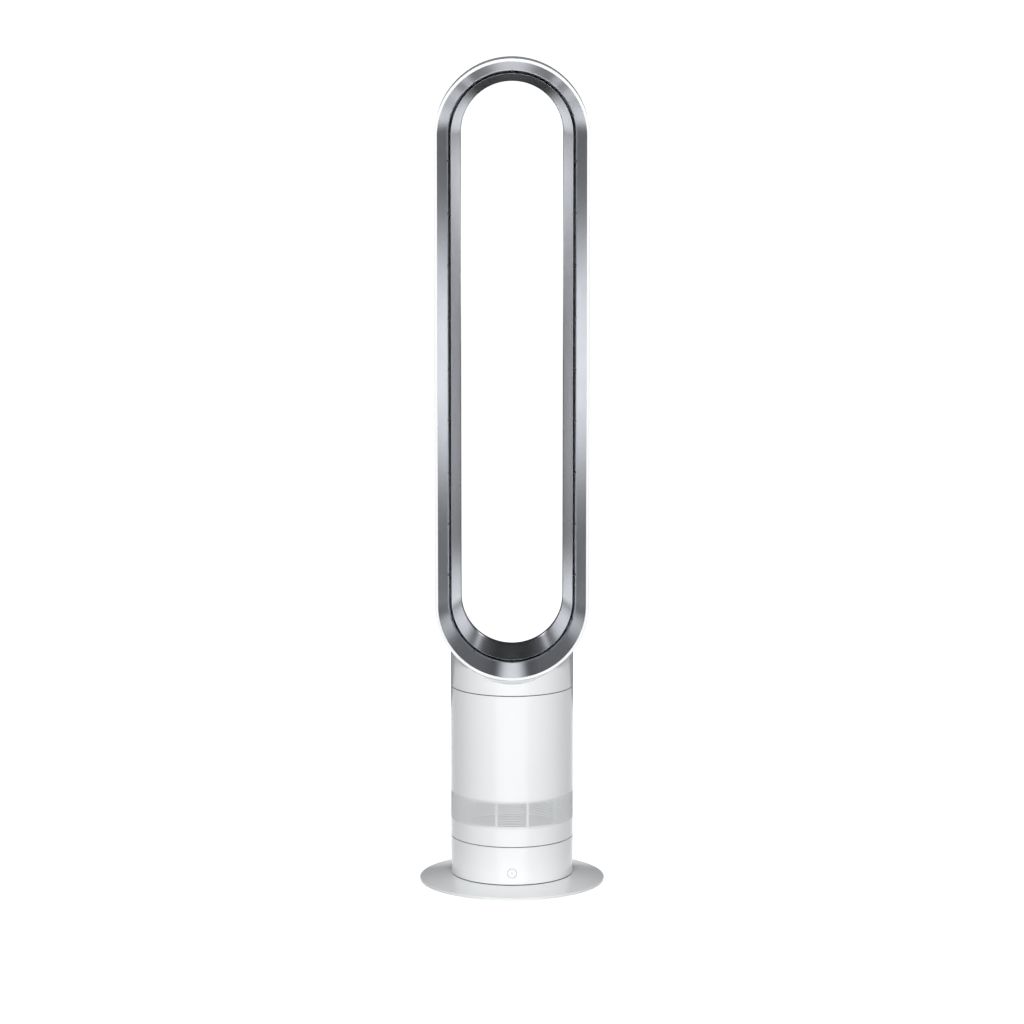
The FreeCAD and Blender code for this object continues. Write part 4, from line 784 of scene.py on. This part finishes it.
class FAN_OT_neck(bpy.types.Operator):
    """Builds the saddle that joins the round body to the loop"""
    bl_idname = "tower_fan.neck"
    bl_label = "Neck"

    def execute(self, context):
        gap = PANEL_GAP
        semi = (OUTER_OVAL[1][0] + gap, OUTER_OVAL[1][1] + gap)

        def saddle(x, y):
            depth = min(max((y - Y_SHOULDER) / semi[1], 0.0), 1.0)
            radius = NOSE_R + semi[0] * math.sqrt(1 - depth * depth)
            return Z_LOW_ARC - math.sqrt(radius * radius - x * x)

        columns, rings = 240, 44
        half_width, front, back = 45 * MM, Y_FRONT + 15 * MM, Y_BACK - 35 * MM
        centre_y, half_depth = (front + back) / 2, (back - front) / 2
        inside, bottom = BODY_IN, MAIN_HIGH.z + SEAM_GAP
        spigot, collar_low = inside - SLIP, NECK_LOW.z
        spigot_in = spigot - SPIGOT_WALL
        floor = bottom + BODY_WALL
        work = bmesh.new()
        weight = work.edges.layers.float.new("bevel_weight_edge")
        grid = []
        for c in range(columns):
            a = 2 * math.pi * c / columns
            ca, sa = math.cos(a), math.sin(a)
            stretch = 1 / max(abs(ca) / half_width, abs(sa) / half_depth)
            hole = (ca * stretch, centre_y + sa * stretch)
            column = [(spigot_in, collar_low), (spigot, collar_low), (spigot, bottom), (BODY_R, bottom)]
            spots = [(r * ca, r * sa, z) for r, z in column]
            top = [(BODY_R * ca * (1 - t) + hole[0] * t, BODY_R * sa * (1 - t) + hole[1] * t)
                   for t in (k / rings for k in range(rings + 1))]
            spots += [(x, y, saddle(x, y)) for x, y in top]
            under = [(inside * ca * (1 - t) + hole[0] * t, inside * sa * (1 - t) + hole[1] * t)
                     for t in (k / rings for k in range(rings, -1, -1))]
            for x, y in under:
                slope = x / math.sqrt(LOOP_R ** 2 - x * x)
                spots.append((x, y, saddle(x, y) - BODY_WALL * math.sqrt(1 + slope * slope)))
            spots += [(inside * ca, inside * sa, floor), (spigot_in * ca, spigot_in * sa, floor)]
            grid.append([work.verts.new(s) for s in spots])
        low_row, top_row = 3, 4
        for column, after in zip(grid, grid[1:] + grid[:1]):
            skin_between(work, after, column)
            work.edges.get((column[top_row], after[top_row]))[weight] = 1.0
            low_edge = work.edges.get((column[low_row], after[low_row]))
            low_edge[weight] = sizes().seam_round / sizes().neck_round
        obj = from_bmesh("neck_saddle", work)
        bevel = obj.modifiers.new("Edges", "BEVEL")
        bevel.width, bevel.segments, bevel.limit_method = sizes().neck_round, 4, "WEIGHT"
        closed_up(applied(obj))
        show(obj, "upper", white_finish(), "white_casing", "neck")
        return {"FINISHED"}


class FAN_OT_main_casing(bpy.types.Operator):
    """Builds the casing of the swivelling body, with the windows behind its inlet band"""
    bl_idname = "tower_fan.main_casing"
    bl_label = "Main Casing"

    def execute(self, context):
        seat = BODY_R - sizes().band_thickness
        screw_z = (SCREW_LOW.z + SCREW_HIGH.z) / 2
        screw_hole, patch, steps = 3.15 * MM, 4.4 * MM, 8
        around_screw = level_run(screw_z - patch, screw_z + patch, steps)
        margin = BODY_WALL
        levels = [(MAIN_LOW.z, BODY_R), (BAND_LOW.z, BODY_R), (BAND_LOW.z, seat),
                  (BAND_LOW.z + margin, seat), (BAND_HIGH.z - margin, seat), (BAND_HIGH.z, seat),
                  (BAND_HIGH.z, BODY_R), ((BAND_HIGH.z + around_screw[0]) / 2, BODY_R)]
        first = len(levels)
        levels += [(z, BODY_R) for z in around_screw] + [(MAIN_HIGH.z, BODY_R)]
        columns = degrees_round([(86, 94)])
        hole = (90, screw_z, screw_hole, (columns.index(86), columns.index(94), first, first + steps))
        windows = []
        pitch, half_window = 30, 14
        for middle in range(pitch, 360 + pitch, pitch):
            low, high = columns.index(middle - half_window), columns.index((middle + half_window) % 360)
            for c0, c1 in (((low, high),) if low < high else ((low, len(columns)), (0, high))):
                windows.append((c0, c1, 3, 4))
        obj = round_wall("main_body_casing", columns, levels, sizes().seam_round, [hole], windows)
        add_ledge(obj, TABLE_LEDGE_WIDTH, TABLE_HIGH.z, TABLE_HIGH.z + LEDGE_THICKNESS)
        show(obj, "upper", white_finish(), "white_casing", "main_casing")
        return {"FINISHED"}


class FAN_OT_inlet_band(bpy.types.Operator):
    """Builds the perforated band where the air goes in"""
    bl_idname = "tower_fan.inlet_band"
    bl_label = "Inlet Band"

    def execute(self, context):
        obj = new_object("inlet_band", bpy.data.meshes.new("inlet_band"))
        tree = bpy.data.node_groups.get("Perforated Sheet") or perforated_tree()
        hair = 0.1 * MM
        run_tree(obj, tree, {
            "Columns": sizes().hole_columns, "Rows": sizes().hole_rows,
            "Hole Radius": sizes().hole_radius, "Body Radius": BODY_R, "Bottom": BAND_LOW.z + hair,
            "Height": BAND_HIGH.z - BAND_LOW.z - 2 * hair, "Thickness": sizes().band_thickness - SLIP / 2,
            "Finish": band_finish()})
        if not obj.data.polygons:
            raise RuntimeError("the inlet band came out empty")
        closed_up(obj, weighted=False)
        show(obj, "upper", band_finish(), "perforated_band", "inlet_grille")
        return {"FINISHED"}


class FAN_OT_lower_casing(bpy.types.Operator):
    """Builds the casing of the fixed lower body, with its holes for the button and the lead"""
    bl_idname = "tower_fan.lower_casing"
    bl_label = "Lower Casing"

    def execute(self, context):
        patch, steps, gland_hole, button_hole = 7.8 * MM, 12, 6.0 * MM, 5.85 * MM
        rows = level_run(BUTTON_Z - patch, BUTTON_Z + patch, steps)
        levels = [(z, BODY_R) for z in [LOWER_LOW.z] + rows + [LOWER_HIGH.z]]
        spans = [(84, 96), (264, 276)]
        columns = degrees_round(spans)
        holes = []
        for (low, high), radius in zip(spans, (gland_hole, button_hole)):
            holes.append(((low + high) / 2, BUTTON_Z, radius,
                          (columns.index(low), columns.index(high), 1, 1 + steps)))
        obj = round_wall("lower_body_casing", columns, levels, sizes().seam_round, holes)
        add_ledge(obj, LEDGE_WIDTH, DECK_LOW.z - LEDGE_THICKNESS, DECK_LOW.z)
        show(obj, "base", white_finish(), "white_casing", "lower_casing")
        return {"FINISHED"}


class FAN_OT_power_button(bpy.types.Operator):
    """Builds the round power button, its face curved with the casing"""
    bl_idname = "tower_fan.power_button"
    bl_label = "Power Button"

    def execute(self, context):
        cap, flange, stem = 5.5 * MM, 7.0 * MM, 2.0 * MM
        edge, sides = 0.45 * MM, 64
        play, flange_thickness = 0.35 * MM, 1.5 * MM
        flange_front = play - math.sqrt(BODY_IN ** 2 - flange ** 2)
        flange_back = flange_front + flange_thickness
        face = [(cap * k / 6, 0.0) for k in range(6)] + [(cap - edge, 0.0)]
        face += [(cap - edge + edge * math.sin(t), edge * (1 - math.cos(t)))
                 for t in (math.radians(22.5 * k) for k in range(1, 5))]
        behind = [(cap, flange_front), (flange, flange_front), (flange, flange_back), (stem, flange_back),
                  (stem, BUTTON_HIGH.y), (0.0, BUTTON_HIGH.y)]
        work = bmesh.new()
        rings = []
        for radius, depth in face + behind:
            ring = []
            for k in range(sides if radius else 1):
                a = 2 * math.pi * k / sides
                x, z = radius * math.cos(a), radius * math.sin(a)
                y = depth if depth < 0 else depth - math.sqrt(BODY_R ** 2 - x * x)
                ring.append(work.verts.new((x, y, BUTTON_Z + z)))
            rings.append(ring)
        for ring, after in zip(rings, rings[1:]):
            skin_between(work, ring, after)
        obj = closed_up(from_bmesh("power_button_cap", work))
        marked = finish("Gloss White Button", colours().white, 0.2, grain=1.2, mottle=20, tone=0.008,
                        spread=0.02, bump=0.003, coat=0.25, mark=colours().mark)
        show(obj, "button", marked, "white_casing", "power_button")
        return {"FINISHED"}


class FAN_OT_floor_disc(bpy.types.Operator):
    """Builds the floor disc with its low cone, its spigot and the posts inside the lower body"""
    bl_idname = "tower_fan.floor_disc"
    bl_label = "Floor Disc"

    def execute(self, context):
        rim, low, hub = DISC_HIGH.x, DISC_LOW.z, LOWER_LOW.z - SEAM_GAP
        rim_thickness, rim_edge, cover_margin, wall = 3 * MM, 0.9 * MM, 4 * MM, 2 * MM
        top, edge = low + rim_thickness, rim - rim_edge
        slope = (hub - top) / (edge - BODY_R)
        cover_r = rim - cover_margin
        spigot, spigot_top = BODY_IN - SLIP, hub + 4.7 * MM
        soft = 0.3 * MM
        corners = [(0.0, hub, 0), (spigot - LEDGE_WIDTH, hub, 0),
                   (spigot - LEDGE_WIDTH, spigot_top, soft), (spigot, spigot_top, soft),
                   (spigot, hub, 0), (BODY_R + 1 * MM, hub, 0.8 * MM),
                   (rim, top - (rim - edge) * slope, 1.1 * MM), (rim, low, soft), (cover_r, low, 0),
                   (cover_r, top - wall + (edge - cover_r) * slope, 0), (BODY_R, hub - wall, 0),
                   (0.0, hub - wall, 0)]
        work = bmesh.new()
        lathe_into(work, rounded(corners, 5), columns=240)
        sunk = 0.5 * MM

        def post(bore, radius, top, soft, columns, place):
            lathe_into(work, rounded([(bore, hub - sunk, 0), (radius, hub - sunk, 0), (radius, top, soft),
                                      (bore, top, 0)], 3), columns, place)

        circle = BODY_IN - POST_INSET
        for degrees in (45, 135, 225, 315):
            a = math.radians(degrees)
            post(1.5 * MM, 4.5 * MM, DECK_LOW.z, 0.4 * MM, 32, (circle * math.cos(a), circle * math.sin(a)))
        board_low, board_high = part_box("mains_board")
        inset = 3 * MM
        for x in (board_low.x + inset, board_high.x - inset):
            for y in (board_low.y + inset, board_high.y - inset):
                post(0.0, inset, board_low.z, 0.3 * MM, 24, (x, y))
        panel_low, panel_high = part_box("control_board")
        block = 4.8 * MM
        for x in (panel_low.x, panel_high.x - block):
            block_into(work, (x, panel_high.y, hub - sunk), (x + block, panel_high.y + block, hub + 13 * MM))
        obj = closed_up(from_bmesh("floor_disc", work))
        show(obj, "base", white_finish(), "white_casing", "base_disc")
        return {"FINISHED"}


class FAN_OT_cord_gland(bpy.types.Operator):
    """Builds the rubber gland for the mains lead at the back"""
    bl_idname = "tower_fan.cord_gland"
    bl_label = "Cord Gland"

    def execute(self, context):
        bore, neck, flange, lip = 3.6 * MM, 5.85 * MM, 7.5 * MM, 1.4 * MM
        front, back = GLAND_LOW.y, GLAND_HIGH.y
        height = (GLAND_LOW.z + GLAND_HIGH.z) / 2
        soft = 0.5 * MM
        work = bmesh.new()
        lathe_into(work, rounded([
            (bore, front, 0), (flange, front, soft), (flange, front + lip, 0), (neck, front + lip, 0),
            (neck, BODY_R, 0), (flange, BODY_R, 0.3 * MM), (flange, back, soft), (bore, back, soft)], 5),
            64, (0.0, height), along_y=True)
        obj = closed_up(from_bmesh("mains_gland", work))
        show(obj, "base", seal_finish(), "seal_rubber", "cord_gland")
        return {"FINISHED"}


class FAN_OT_inner_parts(bpy.types.Operator):
    """Gives every part that keeps its own shape its finish"""
    bl_idname = "tower_fan.inner_parts"
    bl_label = "Inner Parts"

    def execute(self, context):
        turned = (1.0, 1.0, 8.0)
        finishes = (
            (seal_finish(), "lower_casing_seal neck_seal housing_seal loop_seam_seal rubber_mounts"),
            (finish("Black Foot Rubber", (0.02, 0.02, 0.021), 0.8, grain=0.5, mottle=10, tone=0.2,
                    spread=0.08, bump=0.05), "rubber_foot"),
            (finish("Dark Moulding", (0.028, 0.028, 0.031), 0.5, grain=0.6, mottle=18, tone=0.12,
                    spread=0.06, bump=0.03),
             "deck turntable blower_housing bellmouth motor_bucket_lower motor_bucket_upper "
             "diffuser_vanes ball_cage air_guides"),
            (finish("Grey Moulding", (0.26, 0.265, 0.27), 0.55, grain=0.5, mottle=20, tone=0.06,
                    spread=0.05, bump=0.03), "bottom_cover"),
            (finish("Slot Ribs", (0.03, 0.03, 0.033), 0.5, grain=0.5, mottle=12, tone=0.1, bump=0.02),
             "slot_spacers"),
            (finish("Glass Filled Nylon", (0.63, 0.62, 0.58), 0.45, grain=0.25, mottle=8, tone=0.06,
                    spread=0.06, bump=0.015, stretch=(1.0, 3.0, 1.0)), "impeller"),
            (finish("Natural Acetal", (0.74, 0.71, 0.6), 0.35, grain=0.8, mottle=12, tone=0.03,
                    bump=0.01), "ring_gear drive_pinion pivot_bush switch_plunger"),
            (finish("Ground Steel", (0.55, 0.55, 0.57), 0.22, metallic=1.0, grain=0.3, mottle=9,
                    tone=0.06, spread=0.05, bump=0.006, stretch=turned),
             "lower_race upper_race race_balls motor_bearings motor_shaft"),
            (finish("Zinc Plate", (0.5, 0.51, 0.53), 0.34, metallic=1.0, grain=0.4, mottle=3, tone=0.08,
                    spread=0.08, bump=0.01),
             "ballast_screws deck_screws turntable_screws neck_screw impeller_nut retaining_clip "
             "support_posts"),
            (finish("Plain Steel Plate", (0.2, 0.2, 0.21), 0.45, metallic=1.0, grain=0.9, mottle=14,
                    tone=0.2, spread=0.12, bump=0.03), "ballast_ring"),
            (finish("Drawn Motor Can", (0.3, 0.31, 0.33), 0.38, metallic=1.0, grain=0.4, mottle=7,
                    tone=0.1, spread=0.08, bump=0.01, stretch=turned), "swivel_motor"),
            (finish("Sintered Magnet", (0.05, 0.05, 0.053), 0.4, metallic=0.8, grain=0.2, mottle=4,
                    tone=0.2, spread=0.08, bump=0.02), "rotor_magnet"),
            (finish("Stacked Laminations", (0.12, 0.12, 0.13), 0.42, metallic=0.9, layers=0.5,
                    tone=0.35, bump=0.08), "stator_core"),
            (finish("Enamelled Copper", (0.48, 0.16, 0.055), 0.3, metallic=0.9, layers=0.4, tone=0.4,
                    bump=0.12), "stator_coils"),
            (finish("Green Board", (0.008, 0.085, 0.03), 0.35, grain=0.25, mottle=1.8, tone=0.35,
                    spread=0.08, bump=0.02, coat=0.3), "control_board mains_board motor_board"),
            (finish("Black Components", (0.015, 0.015, 0.018), 0.4, grain=0.3, mottle=6, tone=0.15,
                    spread=0.06, bump=0.02), "mains_components tactile_switch signal_receiver"),
            (finish("Open Cell Foam", (0.05, 0.05, 0.053), 0.95, cells=1.1, tone=0.5, bump=0.5,
                    spread=0.02), "floor_foam bucket_foam"))
        for material, names in finishes:
            for name in names.split():
                NODES[name].data.materials.clear()
                NODES[name].data.materials.append(material)
        return {"FINISHED"}


# ---- Studio -----------------------------------------------------------------------------------------
CARDS = (
    # (across, up), (half width, half height), turn in degrees, share of the brightness
    ((0.976, 0.466), (0.14, 0.28), 0, 1.7),
    ((0.43, 0.70), (0.07, 0.27), -40, 1.8),
    ((0.665, 0.46), (0.07, 0.40), -3, 1.6),
    ((0.56, 0.12), (0.09, 0.11), 0, 1.6),
    ((0.0, 0.03), (0.33, 0.13), 0, 1.0),
    ((0.0, 1.86), (0.5, 0.32), 0, 1.45),
)


def bare_material(name):
    """A material with an empty tree."""
    material = bpy.data.materials.new(name)
    material.use_nodes = True
    material.node_tree.nodes.clear()
    return material, material.node_tree


def card_finish():
    """Soft bright patches on a dark sheet, seen only in gloss."""
    material, tree = bare_material("Back Card Pattern")
    place = put(tree, "ShaderNodeTexCoord").outputs["Object"]
    here = put(tree, "ShaderNodeSeparateXYZ", {0: place})
    both = triple(tree, calc(tree, "ABSOLUTE", here.outputs["X"]), 0.0, here.outputs["Z"])
    total = 0.0
    for (x, z), (wide, tall), turn, share in CARDS:
        local = put(tree, "ShaderNodeMapping", {
            "Vector": both, "Location": (x, 0.0, z), "Rotation": (0.0, math.radians(-turn), 0.0),
            "Scale": (wide, 1.0, tall)}, vector_type="TEXTURE")
        away = put(tree, "ShaderNodeVectorMath", {0: local}, operation="LENGTH").outputs["Value"]
        patch = put(tree, "ShaderNodeMapRange", {
            "Value": away, "From Min": 0.35, "From Max": 1.0, "To Min": share, "To Max": 0.0},
            interpolation_type="SMOOTHSTEP")
        total = calc(tree, "MAXIMUM", total, patch)
    studio = bpy.context.scene.fan_studio
    low = put(tree, "ShaderNodeMapRange", {
        "Value": calc(tree, "ABSOLUTE", here.outputs["X"]), "From Min": 0.2, "From Max": 0.8,
        "To Min": 0.03, "To Max": 0.15}, interpolation_type="SMOOTHSTEP")
    glow = put(tree, "ShaderNodeEmission", {
        "Color": (0.955, 0.97, 1.0, 1.0),
        "Strength": calc(tree, "MULTIPLY_ADD", total, studio.card, low)})
    join(tree, put(tree, "ShaderNodeOutputMaterial").inputs["Surface"], glow)
    return material


def plain_glow(name, strength):
    material, tree = bare_material(name)
    glow = put(tree, "ShaderNodeEmission", {"Strength": strength})
    join(tree, put(tree, "ShaderNodeOutputMaterial").inputs["Surface"], glow)
    return material


def floor_finish(glow):
    """Pale studio floor, lifted to plain white where it is looked at or mirrored."""
    material, tree, shader = blank_finish("Pale Floor")
    texture = put(tree, "ShaderNodeGroup", {"Mottle Size": 400.0},
                  node_tree=once("Moulded Grain", moulded_grain))
    tone = mix_colour(tree, texture.outputs["Mottle"], (0.3, 0.3, 0.3, 1.0), (0.32, 0.32, 0.32, 1.0))
    join(tree, shader.inputs["Base Color"], tone)
    shader.inputs["Roughness"].default_value = 0.8
    path = put(tree, "ShaderNodeLightPath")
    seen = calc(tree, "MAXIMUM", path.outputs["Is Camera Ray"], path.outputs["Is Glossy Ray"])
    shader.inputs["Emission Color"].default_value = (1.0, 1.0, 1.0, 1.0)
    join(tree, shader.inputs["Emission Strength"], calc(tree, "MULTIPLY", seen, glow))
    return material


def flat_sheet(name, corners, material):
    mesh = bpy.data.meshes.new(name)
    mesh.from_pydata(corners, [], [tuple(range(len(corners)))])
    mesh.materials.append(material)
    obj = new_object(name, mesh)
    return obj


def only_in_gloss(obj):
    obj.visible_camera = obj.visible_diffuse = obj.visible_transmission = False
    obj.visible_shadow = obj.visible_volume_scatter = False


def softbox(name, place, aim, size, power):
    light = bpy.data.lights.new(name, "AREA")
    light.shape, light.size, light.energy = "SQUARE", size, power
    obj = new_object(name, light)
    obj.location = place
    obj.rotation_euler = (Vector(aim) - Vector(place)).to_track_quat("-Z", "Y").to_euler()
    obj.visible_camera = obj.visible_glossy = False
    return obj


class FAN_OT_studio(bpy.types.Operator):
    """Sets up the pale floor, the soft lights, the cards and the camera"""
    bl_idname = "tower_fan.studio"
    bl_label = "Studio"

    def execute(self, context):
        studio = context.scene.fan_studio
        world = bpy.data.worlds.new("Studio Room")
        world.use_nodes = True
        tree = world.node_tree
        tree.nodes.clear()
        path = put(tree, "ShaderNodeLightPath")
        seen = path.outputs["Is Camera Ray"]
        soft = calc(tree, "MULTIPLY_ADD", path.outputs["Is Diffuse Ray"], studio.sky - studio.room,
                    studio.room)
        level = calc(tree, "MULTIPLY_ADD", seen, 1.0 - studio.room, soft)
        tint = mix_colour(tree, seen, (0.9, 0.965, 1.0, 1.0), (1.0, 1.0, 1.0, 1.0))
        sky = put(tree, "ShaderNodeBackground", {"Color": tint, "Strength": level})
        join(tree, put(tree, "ShaderNodeOutputWorld").inputs["Surface"], sky)
        context.scene.world = world

        span = 40.0
        flat_sheet("studio_floor", [(-span, -span, 0), (span, -span, 0), (span, span, 0),
                                    (-span, span, 0)], floor_finish(studio.floor_glow))
        wall_y, half, top = 1.0, 2.4, 2.6
        wall = flat_sheet("back_cards", [(-half, wall_y, 0.002), (half, wall_y, 0.002),
                                         (half, wall_y, top), (-half, wall_y, top)], card_finish())
        only_in_gloss(wall)
        spread, reach = math.radians(29.7), 3.0
        start = (BODY_R * math.sin(spread / 2), -BODY_R * math.cos(spread / 2) - 0.01)
        far = (start[0] + reach * math.sin(spread), start[1] - reach * math.cos(spread))
        strip = flat_sheet("front_strip", [(-start[0], start[1], 0.001), (-far[0], far[1], 0.001),
                                           (far[0], far[1], 0.001), (start[0], start[1], 0.001)],
                           plain_glow("Front Strip Glow", studio.strip))
        only_in_gloss(strip)
        middle = (0.0, 0.0, 0.5)
        softbox("key_softbox", (0.0, -3.2, 1.9), middle, 2.0, studio.key)
        softbox("top_softbox", (0.0, 0.3, 3.0), middle, 1.6, studio.top)

        camera = bpy.data.cameras.new("studio_camera")
        camera.lens = studio.lens
        camera.sensor_width = 36.0
        camera.clip_end = 200.0
        camera.dof.use_dof = False
        obj = new_object("studio_camera", camera)
        obj.location = (0.0, -studio.distance, studio.eye)
        obj.rotation_euler = (math.radians(90) - studio.tilt, 0.0, 0.0)
        context.scene.camera = obj
        context.scene.view_settings.view_transform = "Standard"
        return {"FINISHED"}


PIECES = (FAN_OT_loop_skins, FAN_OT_neck, FAN_OT_main_casing, FAN_OT_inlet_band, FAN_OT_lower_casing,
          FAN_OT_power_button, FAN_OT_floor_disc, FAN_OT_cord_gland, FAN_OT_inner_parts, FAN_OT_studio)


class FAN_PT_panel(bpy.types.Panel):
    """Lists the pieces of the fan and the settings that they use"""
    bl_idname = "FAN_PT_panel"
    bl_label = "Tower Fan"
    bl_space_type = "VIEW_3D"
    bl_region_type = "UI"
    bl_category = "Tower Fan"

    def draw(self, context):
        layout = self.layout
        for piece in PIECES:
            layout.operator(piece.bl_idname)
        for group in (context.scene.fan_sizes, context.scene.fan_colours, context.scene.fan_studio):
            box = layout.box()
            for name in group.__annotations__:
                box.prop(group, name)


CLASSES = (FanSizes, FanColours, StudioSettings, *PIECES, FAN_PT_panel)


def register():
    for cls in CLASSES:
        bpy.utils.register_class(cls)
    bpy.types.Scene.fan_sizes = PointerProperty(type=FanSizes)
    bpy.types.Scene.fan_colours = PointerProperty(type=FanColours)
    bpy.types.Scene.fan_studio = PointerProperty(type=StudioSettings)


def unregister():
    del bpy.types.Scene.fan_studio, bpy.types.Scene.fan_colours, bpy.types.Scene.fan_sizes
    for cls in reversed(CLASSES):
        bpy.utils.unregister_class(cls)


def main():
    register()
    for piece in PIECES:
        group, name = piece.bl_idname.split(".")
        getattr(getattr(bpy.ops, group), name)()


if __name__ == "__main__":
    main()
